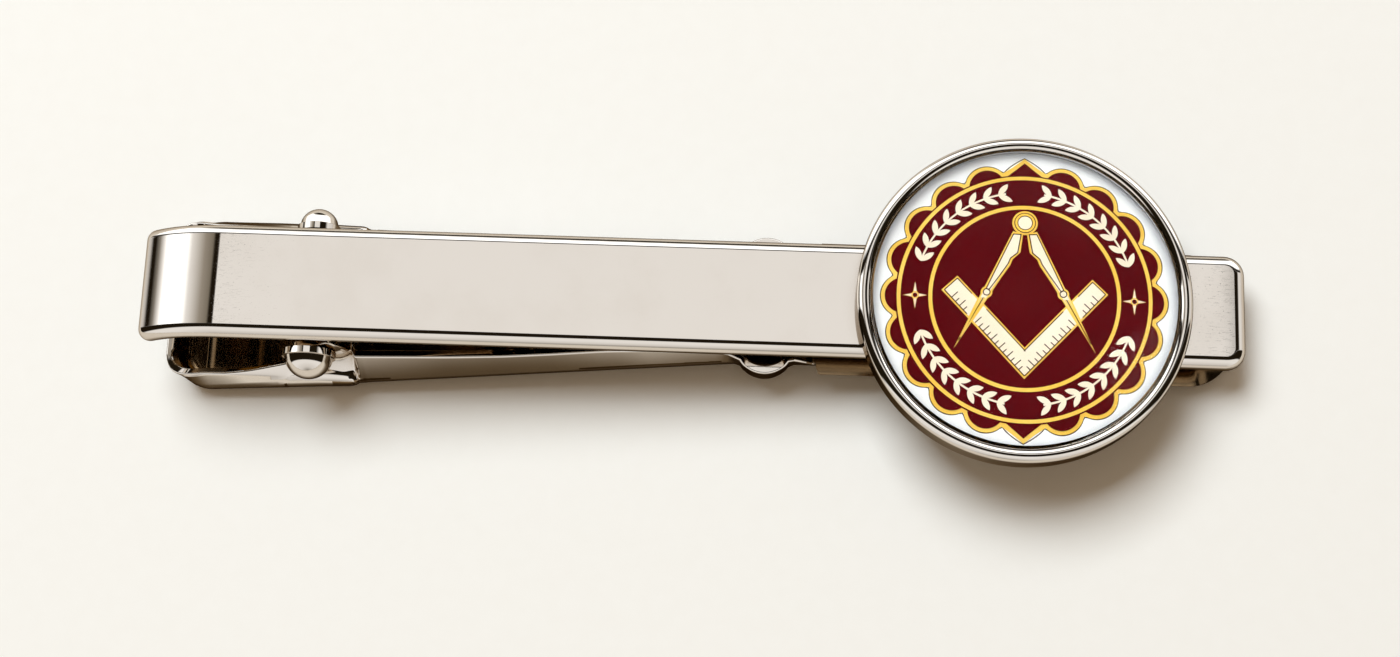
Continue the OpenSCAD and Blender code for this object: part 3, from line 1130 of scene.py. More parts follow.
    def build(self, nodes: dict[str, Piece]) -> None:
        """Dresses each layer in its ink and prints the fine lines.

        Args:
            nodes: The frame's nodes by name.
        """
        for name, ink in self.inks.items():
            materials = nodes[name].data.materials
            materials.clear()
            materials.append(ink)
            LOG.info("%s: dressed in %s", name, ink.name)
        dark = self.square_lines()
        dark.append(self.band(self.rosette(), self.line, GROUND_Z))
        dark += [self.ring(self.pivot, radius, self.line * self.thin) for radius in self.pivot_lines]
        gilt = [self.ring(self.pivot, *self.pivot_gilt)]
        off, width = self.tip_gilt
        begin, gilt_to, line_to = self.tip_run
        for side in (-1, 1):
            joint = (side * self.joint[0], self.joint[1])
            start, end = Vector(joint), Vector((side * self.tip[0], self.tip[1]))
            near = start.lerp(end, begin)
            dark.append(self.ring(joint, self.joint_r, self.line))
            dark.append(self.band([(side * x, y) for x, y in self.leg], self.line))
            dark.append(self.stroke(near, start.lerp(end, line_to), self.line))
            gilt += [self.stroke(near + Vector((x, 0)), start.lerp(end, gilt_to), width) for x in (off, -off)]
            gilt.append(self.ring((side * self.star_x, 0.0), *self.star_ring))
        settle(join(*dark), "emblem_dark_lines", Body.FRONT, "maroon_ink", self.dark)
        gold = self.inks["emblem_gold_lines"]
        settle(join(*gilt), "emblem_gold_rings", Body.FRONT, "gold_ink", gold)


# ---------------------------------------------------------------- the lever


@dataclass
class ClipLever:
    """The sprung lever: one pressed sheet with a thumb tray, two ears, a tapered arm, a pocket and a spoon tip."""

    metal: Material
    # The trough's dark plating: a painted shade.
    trough_shade_plate: Material
    wall: float = 0.5
    rim_round: float = 0.1
    tray_w: float = 4.95
    tray_taper: float = 0.0315
    tray_end: float = 12.2
    tray_corner: float = 2.2
    tray_round: float = 0.9
    round_run: float = 2.0
    tight_from: float = 9.5
    tighter: float = 0.15
    tray_slope: float = 7.0
    tail_lean: float = 7.0
    tail_clear: float = 0.024
    shoulder_r: float = 1.0
    arm_x: float = 12.0
    arm_start_w: float = 4.42
    arm_w: float = 3.2
    arm_root_d: float = 5.75
    root_x: float = 11.0
    root_run: float = 1.1
    waist_x: float = 11.8
    waist_skip: float = 0.03
    fine_to: float = 12.6
    arm_end_x: float = 33.6
    arm_round: float = 0.8
    pocket_x: float = 34.3
    pocket_r: float = 1.6
    pocket_y: float = 2.25
    pocket_d: float = 3.9
    pocket_ramp: float = 0.55
    pocket_lead: float = 0.15
    pocket_round: float = 0.7
    tip_corner: float = 2.0
    tip_lift_x: float = 57.2
    tip_rise: float = 0.1
    tip_open: float = 0.6
    ear_y: float = 3.35
    ear_t: float = 0.4
    thin_from: float = 7.0
    thin_run: float = 1.0
    fold_z: float = -4.6
    bend_z: float = -3.82
    lift_z: float = -4.4
    ear_from: float = 7.85
    ear_to: float = 11.42
    jog_from: float = 11.5
    jog_to: float = 11.95
    step: float = 0.34
    side_step: float = 0.26
    fine_step: float = 0.085
    ear_lead: float = 0.6
    rim_reach: float = 0.04
    corner_cuts: int = 16
    shoulder_cuts: int = 8
    pocket_cuts: int = 20
    arc_cuts: int = 7
    straight_from: float = 4.0
    straight_spare: float = 0.1
    first_row: Mark = (0.04, 0.5)
    second_row: Mark = (0.28, 0.8)
    rows: tuple[int, int, int] = (3, 7, 6)
    fold_marks: tuple[Mark, ...] = ((1.1, 4.43), (4.3, 4.38), (7.0, 4.32), (9.0, 4.33), (11.0, 4.27), (12.0, 4.2))
    rim_w_marks: tuple[Mark, ...] = (
        (11.0, 3.61), (12.0, 3.6), (17.0, 3.53), (20.0, 3.42), (22.7, 3.26), (25.4, 3.06), (28.0, 2.94), (32.2, 2.92),
        (32.9, 3.2), (60.0, 3.2),
    )
    rim_marks: tuple[Mark, ...] = (
        (0.0, -4.45), (4.3, -4.45), (5.8, -4.32), (7.85, -4.1), (8.15, -3.98), (8.3, -3.85), (8.38, -3.68),
        (8.42, -3.4), (8.43, -2.35), (8.477, -2.05), (8.615, -1.78), (8.83, -1.564), (9.1, -1.427), (9.4, -1.38),
        (10.2, -1.38), (10.45, -1.46), (10.7, -1.74), (10.95, -2.12), (11.15, -2.6), (11.3, -3.05), (11.42, -3.4),
        (11.6, -2.37), (17.0, -2.05), (20.0, -1.9), (23.0, -1.65), (26.0, -1.42), (32.6, -1.42), (33.3, -2.0),
        (35.3, -2.0), (35.9, -1.5), (37.2, -2.3), (70.0, -2.3),
    )
    edge_marks: tuple[Mark, ...] = (
        (-5.0, 11.8), (-4.6, 11.8), (-4.1, 11.62), (-3.8, 11.5), (-3.4, 11.42), (-3.05, 11.3), (-2.6, 11.15),
        (-2.1, 10.95), (-1.38, 10.4), (0.0, 10.4),
    )
    edge_r: float = 1.4
    edge_run: float = 0.9
    fold_pull: float = 0.26
    bend_pull: float = 0.2
    bend_parts: int = 40
    lean_range: Mark = (-0.2, 1.0)
    floor_facing: float = 0.3
    floor_reach: float = 0.7
    wall_facing: float = 0.25
    teeth: int = 9
    tooth_x: float = 19.2
    tooth_pitch: float = 1.15
    tooth_w: float = 0.9
    tooth_l: float = 5.0
    tooth_top: float = -1.55
    tooth_edge: Point = (0.14, 0.96, 1.0)
    tooth_round: float = 0.04

    def outline(self) -> list[tuple[Vector, Vector]]:
        """Draws half of the lever's outline at its widest level, from the tail's middle to the tip's middle.

        Returns:
            Points on the far side with their outward directions.
        """
        points: list[Vector] = []

        def line(a: Mark, b: Mark, step: float = self.step) -> None:
            """Adds a straight stretch, without its last point.

            Args:
                a: Its start.
                b: Its end.
                step: About how far apart its points are.
            """
            start, end = Vector(a), Vector(b)
            count = max(1, round((end - start).length / step))
            points.extend(start.lerp(end, i / count) for i in range(count))

        def arc(cx: float, cy: float, r: float, a0: float, a1: float, count: int) -> None:
            """Adds an arc, without its last point.

            Args:
                cx: Its centre's x.
                cy: Its centre's y.
                r: Its radius.
                a0: Its first angle in degrees.
                a1: Its last angle.
                count: How many points it has.
            """
            for i in range(count):
                a = math.radians(a0 + (a1 - a0) * i / count)
                points.append(Vector((cx + r * math.cos(a), cy + r * math.sin(a))))

        def side(x: float) -> tuple[float, float]:
            """Gives the point of the tray's side at x."""
            return x, self.tray_w - self.tray_taper * (x - LIE.tail_x)

        c, e, tail, tip = self.tray_corner, self.shoulder_r, LIE.tail_x, LIE.tip_x
        line((tail, 0), (tail, side(tail + c)[1] - c))
        lead = self.ear_from - self.ear_lead
        arc(tail + c, side(tail + c)[1] - c, c, 180, 90, self.corner_cuts)
        line(side(tail + c), side(lead), self.side_step)
        line(side(lead), side(self.tray_end - e), self.fine_step)
        waist = self.arm_at(self.waist_x)
        stop = math.degrees(math.asin((waist - side(self.tray_end - e)[1] + e) / e))
        arc(self.tray_end - e, side(self.tray_end - e)[1] - e, e, 90, stop, self.shoulder_cuts)
        line((self.waist_x + self.waist_skip, waist), (self.fine_to, self.arm_at(self.fine_to)), self.fine_step)
        joint = math.sqrt(self.pocket_r**2 - (self.arm_w - self.pocket_y) ** 2)
        line((self.fine_to, self.arm_at(self.fine_to)), (self.pocket_x - joint, self.arm_w))
        a = math.degrees(math.atan2(self.arm_w - self.pocket_y, joint))
        arc(self.pocket_x, self.pocket_y, self.pocket_r, 180 - a, a, self.pocket_cuts)
        line((self.pocket_x + joint, self.arm_w), (tip - self.tip_corner, self.arm_w))
        arc(tip - self.tip_corner, self.arm_w - self.tip_corner, self.tip_corner, 90, 0, self.corner_cuts)
        line((tip, self.arm_w - self.tip_corner), (tip, 0))
        points.append(Vector((tip, 0)))
        drawn = []
        for i, p in enumerate(points):
            before = points[i - 1] if i else Vector((p.x, -points[1].y))
            after = points[i + 1] if i < len(points) - 1 else Vector((p.x, -points[i - 1].y))
            run = (after - before).normalized()
            drawn.append((p, Vector((-run.y, run.x))))
        return drawn

    def arm_at(self, x: float) -> float:
        """Gives half the arm's width at x."""
        share = min(1.0, (x - self.arm_x) / (self.arm_end_x - self.arm_x))
        return self.arm_start_w + (self.arm_w - self.arm_start_w) * share

    def rim_at(self, u: float) -> tuple[Vector, Vector]:
        """Gives the rim's place above a point of the outline, and the way that the rim faces there.

        Over the ear the rim is longer than the outline, and its points are spread evenly round the ear.

        Args:
            u: The outline point's x.

        Returns:
            The rim's x and z, and the outward direction in that plane.
        """

        def place(at: float) -> Vector:
            """Gives the rim's place.

            Args:
                at: The x asked for.

            Returns:
                The rim's x and z.
            """
            if not self.ear_from < at < self.ear_to:
                return Vector((at, along(self.rim_marks, at)))
            ear = [Vector(m) for m in self.rim_marks if self.ear_from <= m[0] <= self.ear_to]
            runs = [(b - a).length for a, b in zip(ear, ear[1:])]
            rest = sum(runs) * (at - self.ear_from) / (self.ear_to - self.ear_from)
            for a, b, run in zip(ear, ear[1:], runs):
                if rest <= run:
                    return a.lerp(b, rest / run)
                rest -= run
            return ear[-1]

        run = (place(u + self.rim_reach) - place(u - self.rim_reach)).normalized()
        return place(u), Vector((-run.y, run.x))

    def floor_z(self, x: float) -> float:
        """Gives the height of the sheet's underside: tray, arm, pocket and rising tip.

        Args:
            x: The place along the lever.

        Returns:
            The height.
        """
        climb = max(0.0, x - LIE.tail_x - LIE.tail_r) * math.tan(math.radians(self.tray_slope))
        tray = -LIE.tail_d + self.tail_clear + climb
        slope = (self.arm_root_d - LIE.arm_d) / (self.arm_end_x - self.arm_x)
        arm = min(-LIE.arm_d, -self.arm_root_d + slope * (x - self.arm_x))
        low = tray + (arm - tray) * ease((x - self.root_x) / self.root_run)
        pocket = ease((self.pocket_r - abs(x - self.pocket_x)) / self.pocket_ramp + self.pocket_lead)
        return low + (-self.pocket_d - low) * pocket + max(0.0, x - self.tip_lift_x) * self.tip_rise

    def corner_r(self, x: float) -> float:
        """Gives the radius of the bend between wall and floor.

        Args:
            x: The place along the lever.

        Returns:
            The radius outside.
        """
        if x < LIE.tail_x + self.round_run:
            return LIE.tail_r + (self.tray_round - LIE.tail_r) * max(0.0, (x - LIE.tail_x) / self.round_run)
        if x < self.tray_end:
            return self.tray_round - self.tighter * ease((x - self.tight_from) / self.round_run)
        if abs(x - self.pocket_x) < self.pocket_r:
            return self.pocket_round
        return self.arm_round + max(0.0, (x - LIE.tip_x) / LIE.tip_r + 1) * self.tip_open

    def lean_for(self, r: float, rise: float, inward: float) -> float:
        """Finds the wall's angle that brings it in by so much over its rise above its widest level.

        Args:
            r: The radius of the bend that the wall grows out of.
            rise: Height over the widest level.
            inward: How far in the wall is at that height.

        Returns:
            The angle from upright, in radians.
        """
        low, high = self.lean_range
        for _ in range(30):
            angle = (low + high) / 2
            reach = r * (1 - math.cos(angle)) + (rise - r * math.sin(angle)) * math.tan(angle)
            low, high = (angle, high) if reach < inward else (low, angle)
        return (low + high) / 2

    def shoulder(self, y: float, z: float, x: float, lean: float) -> float:
        """Gives half the sheet's width above its fold, where it bends in and up into the ear.

        Args:
            y: Half the width at the fold.
            z: The height.
            x: The place along the lever.
            lean: The wall's angle below the fold, in radians.

        Returns:
            Half the width.
        """
        run, rise = self.ear_y - y, self.bend_z - self.fold_z
        pull = (-self.fold_pull * math.sin(lean), self.fold_pull * math.cos(lean))
        curve = []
        for i in range(self.bend_parts + 1):
            t = i / self.bend_parts
            s = 1 - t
            across = 3 * s * s * t * pull[0] + (3 * s * t * t + t**3) * run
            up = 3 * s * s * t * pull[1] + 3 * s * t * t * (rise - self.bend_pull) + t**3 * rise
            curve.append((self.fold_z + up, y + across))
        turned = min(self.edge_run, max(0.0, x - along(self.edge_marks, z) + self.edge_run))
        return along(curve, z) - self.edge_r + math.sqrt(self.edge_r**2 - turned**2)

    def section(self, p: Vector, n: Vector) -> list[Point]:
        """Draws the sheet's cross-section at one point of the outline.

        It runs from the underside's edge up the outside to the rim, and down the inside to the floor's edge.

        Args:
            p: The point of the outline.
            n: The outward direction there.

        Returns:
            The section's points.
        """
        r, belly = self.corner_r(p.x), self.floor_z(p.x) + self.corner_r(p.x)
        half, sideways = abs(p.y), n.y * n.y
        rim, facing = self.rim_at(p.x)
        jogged = ease((p.x - self.jog_from) / (self.jog_to - self.jog_from))
        fold_w = along(self.fold_marks, p.x)
        tray_lean = self.lean_for(r, self.fold_z - belly, half - fold_w) if jogged < 1 else 0.0
        arm_lean = 0.0
        if self.ear_to < p.x < self.pocket_x - self.pocket_r:
            arm_lean = self.lean_for(r, rim.y - belly, half - along(self.rim_w_marks, p.x))
        lean = (tray_lean + (arm_lean - tray_lean) * jogged) * sideways
        if p.x < LIE.tail_x + self.tray_corner:
            lean -= math.radians(self.tail_lean) * n.x * n.x
        thinned = ease((p.x - self.thin_from) / self.thin_run) * (1 - jogged)
        thick = self.wall + (self.ear_t - self.wall) * thinned

        def inward(z: float, x: float) -> float:
            """Gives how far in the outside is from the outline.

            Args:
                z: The height.
                x: The place along the lever.

            Returns:
                The distance.
            """
            straight = [
                r * (1 - math.cos(a)) + (z - belly - r * math.sin(a)) * math.tan(a) for a in (lean, arm_lean)
            ]
            if z > self.fold_z and jogged < 1 and p.x < self.jog_to:
                above = half - self.shoulder(fold_w, z, x, tray_lean)
                straight[0] += (above - straight[0]) * sideways
            return straight[0] + (straight[1] - straight[0]) * jogged if jogged else straight[0]

        start = belly + r * math.sin(lean)
        top_x, top_z = rim.x - self.rim_round * facing.x, rim.y - self.rim_round * facing.y
        tall = top_z - start
        stops = [start]
        for (least, most), wished in ((self.first_row, self.fold_z), (self.second_row, self.bend_z)):
            stops.append(max(start + least * tall, min(wished, start + most * tall)))
        stops.append(top_z)
        levels = [
            low + (high - low) * (i + 1) / count
            for low, high, count in zip(stops, stops[1:], self.rows)
            for i in range(count)
        ]
        along_rim = []
        for z in levels:
            lifted = top_z > self.lift_z + NEAR
            share = min(1.0, max(0.0, (z - self.lift_z) / (top_z - self.lift_z))) if lifted else 0.0
            shift = (top_x - p.x) * share
            along_rim.append((shift, -inward(z, p.x + shift), z))
        arc = [
            (0.0, -r * (1 - math.cos(a)), belly + r * math.sin(a))
            for a in (-math.pi / 2 + (math.pi / 2 + lean) * i / self.arc_cuts for i in range(self.arc_cuts + 1))
        ]
        outside = arc + along_rim
        normals = []
        for i in range(len(outside)):
            (_, o0, z0), (_, o1, z1) = outside[max(0, i - 1)], outside[min(len(outside) - 1, i + 1)]
            run = Vector((o1 - o0, z1 - z0)).normalized()
            normals.append(Vector((-run.y, run.x)))
        shift, out, z = outside[-1]
        normal = normals[-1]
        up = (facing.x, normal.y * facing.y, -normal.x * facing.y)
        lip = []
        for a, inner in ((30, 0), (60, 0), (90, 0), (90, 1), (60, 1), (30, 1), (0, 1)):
            a = math.radians(a)
            rise, depth = self.rim_round * math.sin(a), self.rim_round * (1 - math.cos(a))
            depth = thick - depth if inner else depth
            lip.append(
                (shift + up[0] * rise, out + up[1] * rise + normal.x * depth, z + up[2] * rise + normal.y * depth)
            )
        inside = []
        for i in range(len(outside) - 2, self.arc_cuts, -1):
            shift, out, z = outside[i]
            inside.append((shift, out + normals[i].x * thick, z + normals[i].y * thick))
        hollow = [
            (0.0, -r + (r - self.wall) * math.cos(a), belly + (r - self.wall) * math.sin(a))
            for a in (lean - (math.pi / 2 + lean) * i / self.arc_cuts for i in range(self.arc_cuts + 1))
        ]
        straight_to = LIE.tip_x - self.tip_corner - self.straight_spare
        side = Vector((0, math.copysign(1.0, p.y))) if self.straight_from < p.x < straight_to else n
        ways = [n] * len(arc) + [side] * (len(along_rim) + len(lip) + len(inside)) + [n] * len(hollow)
        return [
            (p.x + way.x * out + shift, p.y + way.y * out, z)
            for way, (shift, out, z) in zip(ways, outside + lip + inside + hollow)
        ]

    def shell(self) -> Piece:
        """Models the pressed sheet: the outline drawn up in rings to the rim and down inside, its floors bridged.

        Returns:
            The piece, in the bar's axes.
        """
        half = self.outline()
        near = [(Vector((p.x, -p.y)), Vector((n.x, -n.y))) for p, n in reversed(half[1:-1])]
        turn = len(half) - 1
        sections = [self.section(p, n) for p, n in half + near]
        clear()
        bpy.ops.mesh.primitive_circle_add(radius=10, vertices=len(sections), fill_type="NOTHING")
        obj = bpy.context.object
        edit(obj)
        bpy.ops.mesh.select_all(action="SELECT")
        for number in range(len(sections[0])):
            if number:
                push()
            mesh = bmesh.from_edit_mesh(obj.data)
            mark = mesh.verts.layers.int.get("order") or mesh.verts.layers.int.new("order")
            ring = [v for v in mesh.verts if v.select]
            if not number:
                for i, v in enumerate(ring):
                    v[mark] = i
            ring.sort(key=lambda v: v[mark])
            for v, drawn in zip(ring, sections):
                v.co = drawn[number]
            if number in (0, len(sections[0]) - 1):
                self.bridge(mesh, ring, turn)
            bmesh.update_edit_mesh(obj.data)
        merge(distance=0.0001)
        leave()
        obj.data.attributes.remove(obj.data.attributes["order"])
        return obj

    def bridge(self, mesh: bmesh.types.BMesh, ring: list[bmesh.types.BMVert], turn: int) -> None:
        """Fills the floor inside a ring with strips from side to side, and one face at each end.

        Args:
            mesh: The piece in edit mode.
            ring: The ring's points in order, from the tail's middle round to it again.
            turn: The number of the point at the tip's middle.
        """
        count = len(ring)
        first = next(i for i in range(turn) if ring[i + 1].co.x > ring[0].co.x + 2 * NEAR)
        final = next(i for i in range(turn, 0, -1) if ring[i - 1].co.x < ring[turn].co.x - 2 * NEAR)
        mesh.faces.new(ring[count - first - 1 :] + ring[: first + 2])
        for i in range(first + 1, final - 1):
            mesh.faces.new((ring[i], ring[i + 1], ring[count - i - 1], ring[count - i]))
        mesh.faces.new(ring[final - 1 : count - final + 2])

    def tooth(self, number: int) -> Piece:
        """Models one gripping tooth: a block across the floor whose top is drawn in to an edge.

        Args:
            number: Its number from the hinge on.

        Returns:
            The piece, in the bar's axes.
        """
        x = self.tooth_x + number * self.tooth_pitch
        base = self.floor_z(x) + self.wall / 2
        obj = block((x, 0, (base + self.tooth_top) / 2), (self.tooth_w, self.tooth_l, self.tooth_top - base))
        edit(obj, "FACE")
        pick(obj, "faces", lambda c, n: n.z > SQUARE)
        bpy.ops.transform.resize(value=self.tooth_edge)
        bpy.ops.mesh.select_all(action="SELECT")
        bpy.ops.mesh.select_mode(type="EDGE")
        bevel(self.tooth_round, 2)
        leave()
        return obj

    def is_inside(self, centre: Vector, normal: Vector) -> bool:
        """Tells whether a face of the sheet looks into its trough, where the plating is duller and darkened with
        painted shade.

        Args:
            centre: The face's middle.
            normal: Its normal.

        Returns:
            True for the floor, the walls and the tail's wall as seen from within.
        """
        if normal.z > self.floor_facing and centre.z < self.floor_z(centre.x) + self.wall + self.floor_reach:
            return abs(centre.y) < self.tray_w - self.wall / 2
        if centre.y * normal.y < -self.wall_facing and centre.z < along(self.rim_marks, centre.x) - self.rim_round:
            return True
        return normal.x > self.floor_facing and centre.x < LIE.tail_x + self.tray_corner

    def build(self) -> None:
        """Builds the pressed sheet with its ears and its rounded rims, and its teeth."""
        obj = self.shell()
        smooth(obj, degrees=50)
        only(obj)
        edit(obj, "FACE")
        # Faces inside the trough take the dark plating: painted shade under the bar.
        pick(obj, "faces", self.is_inside)
        marked = [face.index for face in bmesh.from_edit_mesh(obj.data).faces if face.select]
        leave()
        settle(obj, "lever_sheet", Body.LEVER, "polished_plate", self.metal, "clip_lever")
        obj.data.materials.append(self.trough_shade_plate)
        for number in marked:
            obj.data.polygons[number].material_index = 1
        teeth = join(*(self.tooth(number) for number in range(self.teeth)))
        smooth(teeth, degrees=50)
        settle(teeth, "grip_teeth", Body.LEVER, "polished_plate", self.metal, "clip_lever")


@dataclass
class HingePin:
    """The hinge's pin with its two domed heads."""

    metal: Material
    shank_r: float = 0.6
    near_r: float = 1.45
    far_r: float = 1.18
    seat_y: float = 3.38
    reach: float = 4.9
    collar: float = 0.34
    ledge: tuple[Mark, ...] = ((0.05, 0.03), (0.07, 0.0))
    points: int = 96
    dome_cuts: int = 14
    dome_to: float = 0.94

    def build(self) -> None:
        """Builds the shank and draws a collar and a dome out of each of its ends."""
        clear()
        bpy.ops.mesh.primitive_cylinder_add(
            vertices=self.points,
            radius=self.shank_r,
            depth=2 * self.seat_y,
            location=(PIN_X, 0, PIN_Z),
            rotation=(math.pi / 2, 0, 0),
        )
        obj = fresh()
        for side, radius in ((-1, self.near_r), (1, self.far_r)):
            edit(obj, "FACE")
            pick(obj, "faces", lambda c, n, s=side: n.y * s > SQUARE and c.y * s > self.seat_y - NEAR)
            push()
            grow = radius / self.shank_r
            bpy.ops.transform.resize(value=(grow, 1.0, grow))
            push(y=side * self.collar)
            crown(self.ledge)
            inset, raised = (sum(steps) for steps in zip(*self.ledge))
            rise = self.reach - self.seat_y - self.collar - raised
            crown(dome_steps(radius - inset, rise, self.dome_cuts, self.dome_to))
            bpy.ops.mesh.merge(type="CENTER")
            leave()
        edit(obj)
        merge()
        leave()
        smooth(obj, degrees=40)
        settle(obj, "hinge_rivet", Body.LEVER, "polished_plate", self.metal, "hinge_pin")


@dataclass
class LeverSpring:
    """The hairpin spring of flat strip, bent round the pin."""

    metal: Material
    strip_t: float = 0.25
    half_w: float = 1.6
    inner_r: float = 0.75
    top_leg: float = 3.9
    low_leg: float = 5.55
    leg_turn: float = 30.5
    bend_share: float = 0.8
    edge_round: float = 0.05
    turn_steps: int = 24

    def build(self) -> None:
        """Builds the upper leg, spins its end round the pin and draws out the lower leg.

        The whole spring is laid down riding on neither body; the places round its bend are only passed along.
        """
        obj = block(
            (PIN_X - self.top_leg / 2, 0, PIN_Z + self.inner_r + self.strip_t / 2),
            (self.top_leg, 2 * self.half_w, self.strip_t),
        )
        edit(obj, "FACE")
        pick(obj, "faces", lambda c, n: n.x > SQUARE)
        turn = math.radians(self.leg_turn)
        bpy.ops.mesh.spin(steps=self.turn_steps, angle=turn - math.pi, center=(PIN_X, 0, PIN_Z), axis=(0, 1, 0))
        push(x=-self.low_leg * math.cos(turn), z=-self.low_leg * math.sin(turn))
        merge()
        leave()
        soften(obj, self.edge_round)
        smooth(obj)
        reach = self.bend_share * self.inner_r
        bend = (PIN_X, 0.0, PIN_Z + reach), (PIN_X, 0.0, PIN_Z - reach)
        settle(obj, "hairpin_spring", Body.FRONT, "spring_steel", self.metal, "lever_spring", bend=bend)


# ---------------------------------------------------------------- the studio


@dataclass
class Camera:
    """The camera, fitted to the photograph in the bar's axes: degrees, millimetres and pixels."""

    tilt: float = 14.0
    yaw: float = 1.695
    roll: float = 2.289
    distance: float = 120.0
    focal_px: float = 2238.2
    target: Point = (30.807, -1.938, 0.0)

    def build(self) -> None:
        """Makes the camera and gives it to the scene."""
        tilt, yaw, roll = (math.radians(a) for a in (self.tilt, self.yaw, self.roll))
        back = Vector((math.sin(yaw) * math.cos(tilt), -math.sin(tilt), math.cos(yaw) * math.cos(tilt))).normalized()
        up = Vector((0, 1, 0))
        up = (up - back * up.dot(back)).normalized()
        right = up.cross(back)
        rolled_right = right * math.cos(roll) + up * math.sin(roll)
        rolled_up = up * math.cos(roll) - right * math.sin(roll)
        place = Matrix((rolled_right, rolled_up, back)).transposed().to_4x4()
        place.translation = Vector(self.target) + back * self.distance
        data = bpy.data.cameras.new("photo_camera")
        data.sensor_fit, data.sensor_width = "HORIZONTAL", 36.0
        data.lens = data.sensor_width * self.focal_px / IMAGE_W
        data.clip_start, data.clip_end = 0.005, 20.0
        camera = bpy.data.objects.new("photo_camera", data)
        bpy.context.scene.collection.objects.link(camera)
        location, rotation, _ = (LIE.matrix() @ place).decompose()
        camera.matrix_world = Matrix.Translation(location) @ rotation.to_matrix().to_4x4()
        bpy.context.scene.camera = camera


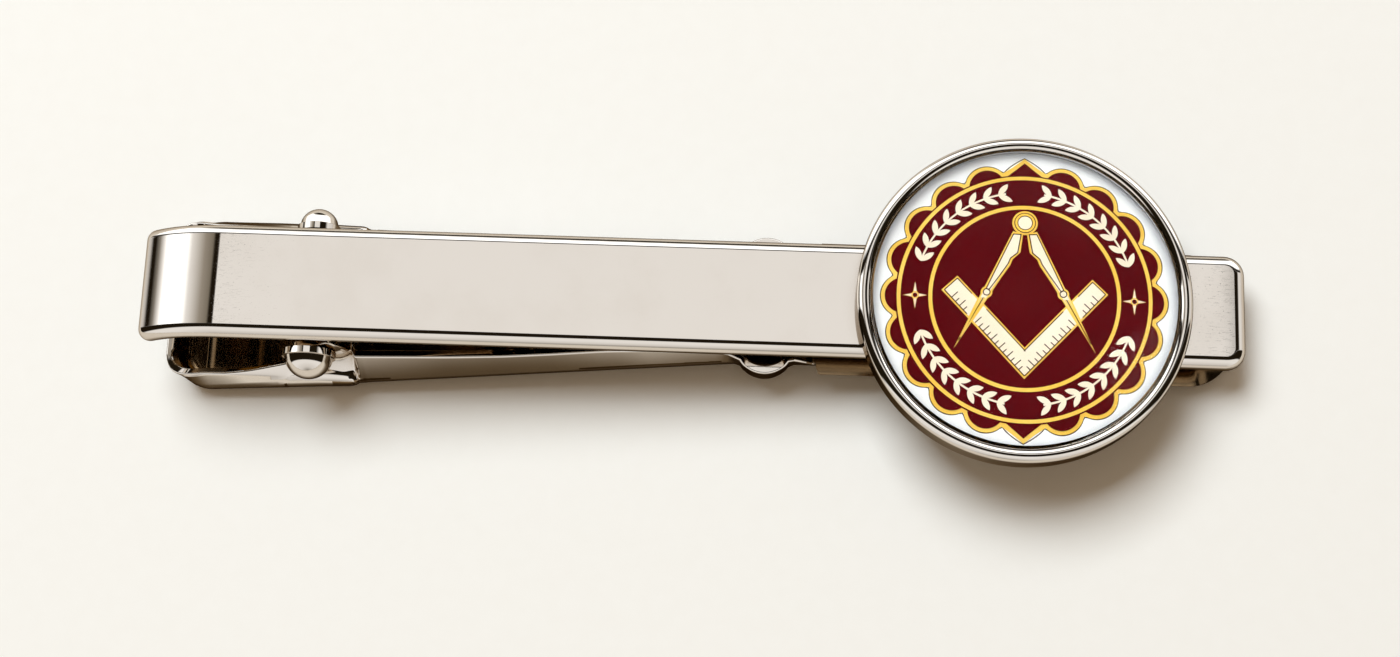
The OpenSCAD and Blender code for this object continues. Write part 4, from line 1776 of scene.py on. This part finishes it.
@dataclass
class Studio:
    """The pale floor, the room that the metal reflects and one soft light."""

    beige: Colour = (0.82, 0.785, 0.745)
    shade: Colour = (0.66, 0.62, 0.575)
    white: Colour = (1.6, 1.6, 1.58)
    dark: Colour = (0.012, 0.008, 0.004)
    grey: Colour = (0.24, 0.215, 0.18)
    fading: tuple[Colour, ...] = ((0.55, 0.51, 0.46), (0.31, 0.27, 0.22), (0.2, 0.17, 0.13))
    pale: Colour = (0.94, 0.925, 0.89)
    ambient: Colour = (0.3, 0.225, 0.15)
    over_print: Colour = (1.3, 1.27, 1.25)
    card_end: Mark = (2.55, 105.0)
    card_end_side: Mark = (13.2, 13.6)
    card_end_over: Mark = (5.0, 7.0)
    board_size: float = 3.0
    board_drop: float = 0.02 * MM
    light_size: float = 0.4
    light_power: float = 5.1
    light_colour: Colour = (0.885, 0.955, 0.985)
    light_place: Point = (-0.18, 0.3, 0.6)

    def ramp(self, tree: Tree, degrees: Socket, stops: list[tuple[float, Colour]]) -> Socket:
        """Adds a colour ramp over an angle from 0 to 180.

        Args:
            tree: The world's nodes.
            degrees: The angle.
            stops: Each stop's angle and colour.

        Returns:
            The ramp's colour.
        """
        node = put(tree, "ValToRGB", {0: maths(tree, "DIVIDE", degrees, 180.0)})
        stack = node.color_ramp.elements
        while len(stack) > 1:
            stack.remove(stack[-1])
        for number, (angle, colour) in enumerate(stops):
            stop = stack.new(angle / 180) if number else stack[0]
            stop.position, stop.color = angle / 180, (*colour, 1.0)
        return node.outputs["Color"]

    def room(self) -> None:
        """Makes the world: bands of card, gap and soft box by direction, as a table-top studio has them.

        The metal sees the bands, but near the far card's end it sees the ramp that runs from side to side. The
        floor, the print under the glass and the camera see the even light of the whole room.
        """
        world = bpy.data.worlds.new("table_top_studio")
        bpy.context.scene.world = world
        world.use_nodes = True
        world.cycles.sampling_method = "NONE"
        tree = world.node_tree
        x, y, z = put(tree, "SeparateXYZ", {0: put(tree, "TexCoord").outputs["Generated"]}).outputs
        to_degrees = 180 / math.pi
        over = maths(tree, "ADD", maths(tree, "MULTIPLY", maths(tree, "ARCSINE", y), to_degrees), 90.0)
        side = maths(tree, "MULTIPLY", maths(tree, "ARCTAN2", x, z), to_degrees)
        b, s, w, d, g = self.beige, self.shade, self.white, self.dark, self.grey
        across = self.ramp(
            tree,
            over,
            [(0, g), (20, s), (45, b), (64, b), (69, d), (98, d), (100.5, b), (109, b), (112, d), (117, d), (123, w),
             (150, w), (158, g), (168, d), (178, d)],
        )
        f0, f1, f2 = self.fading
        ends = self.ramp(
            tree,
            maths(tree, "ADD", side, 90.0),
            [(0, s), (4, s), (8, d), (12, d), (17, g), (22, b), (27, w), (47, w), (53, b), (60, f0), (66, f1),
             (73, f2), (74.8, d), (78.6, d), (79.4, s), (90, b), (105.8, b), (106.8, d), (137, d), (149, b), (180, s)],
        )
        tilt, level = (
            maths(tree, "ABSOLUTE", maths(tree, "SUBTRACT", angle, middle))
            for angle, middle in zip((side, over), self.card_end)
        )
        beside, within = span(tree, tilt, *self.card_end_side), span(tree, level, *self.card_end_over, 1.0, 0.0)
        mask = maths(tree, "MULTIPLY", beside, within)
        shown = mix(tree, mask, across, ends)
        rays = put(tree, "LightPath").outputs
        for kind, colour in (("Transmission", self.over_print), ("Diffuse", self.ambient), ("Camera", self.pale)):
            shown = mix(tree, rays[f"Is {kind} Ray"], shown, colour)
        tree.links.new(shown, tree.nodes["Background"].inputs["Color"])

    def floor(self) -> None:
        """Lays the pale board just under the clip."""
        clear()
        bpy.ops.mesh.primitive_plane_add(size=self.board_size, location=(0, 0, -self.board_drop))
        obj = bpy.context.object
        obj.name = "studio_floor"
        obj.data.materials.append(PaleBoard("pale_board").make())

    def light(self) -> None:
        """Hangs the one large soft light, high on the far left, where no metal mirrors it."""
        data = bpy.data.lights.new("soft_box", "AREA")
        data.shape, data.size, data.size_y = "RECTANGLE", self.light_size, self.light_size
        data.energy, data.color = self.light_power, self.light_colour
        lamp = bpy.data.objects.new("soft_box", data)
        bpy.context.scene.collection.objects.link(lamp)
        lamp.location = self.light_place
        lamp.rotation_euler = (-lamp.location).to_track_quat("-Z", "Y").to_euler()
        lamp.visible_glossy = False

    def build(self) -> None:
        """Builds the whole studio."""
        self.room()
        self.floor()
        self.light()
        settings = bpy.context.scene.view_settings
        settings.view_transform, settings.look = "Standard", "None"


def main() -> None:
    """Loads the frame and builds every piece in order."""
    logging.basicConfig(level=logging.INFO, format="%(name)s %(message)s")
    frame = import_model()
    PolishWear().make()
    PrintGrain().make()
    plate = PlatedMetal(
        "polished_nickel", clear=(0.93, 0.9, 0.86), cloudy=(0.9, 0.865, 0.82), smoothest=0.025, roughest=0.085,
        hairline=0.25, bump=0.2,
    ).make()
    # Dark brown plating for the trough's insides: painted shade.
    trough_shade_plate = PlatedMetal(
        "painted_shade_nickel", clear=(0.27, 0.19, 0.11), cloudy=(0.2, 0.14, 0.08), smoothest=0.12, roughest=0.26,
        hairline=0.5, bump=0.25,
    ).make()
    steel = PlatedMetal(
        "spring_steel", clear=(0.62, 0.6, 0.57), cloudy=(0.5, 0.48, 0.46), smoothest=0.14, roughest=0.3,
        hairline=0.6, bump=0.4,
    ).make()
    stock = PrintStock("print_stock", tuple(LIE.matrix() @ Vector((MEDAL_X, 0.0, GROUND_Z)))).make()
    gold = Ink("gold_ink", srgb(240, 190, 70), srgb(252, 214, 112)).make()
    dark = Ink("dark_ink", srgb(52, 26, 8), srgb(84, 46, 16)).make()
    inks = {
        "emblem_gold_border": gold,
        "emblem_maroon_field": Ink("maroon_ink", srgb(78, 0, 5), srgb(86, 1, 8)).make(),
        "emblem_gold_lines": gold,
        "emblem_cream_fill": Ink("cream_ink", srgb(242, 224, 196), srgb(251, 236, 215)).make(),
    }
    FrontBar(plate).build()
    Medallion(ClearGlass("cabochon_glass").make(), stock).build()
    Emblem(inks, dark).build(frame["nodes"])
    ClipLever(plate, trough_shade_plate).build()
    HingePin(plate).build()
    LeverSpring(steel).build()
    Camera().build()
    Studio().build()


if __name__ == "__main__":
    main()
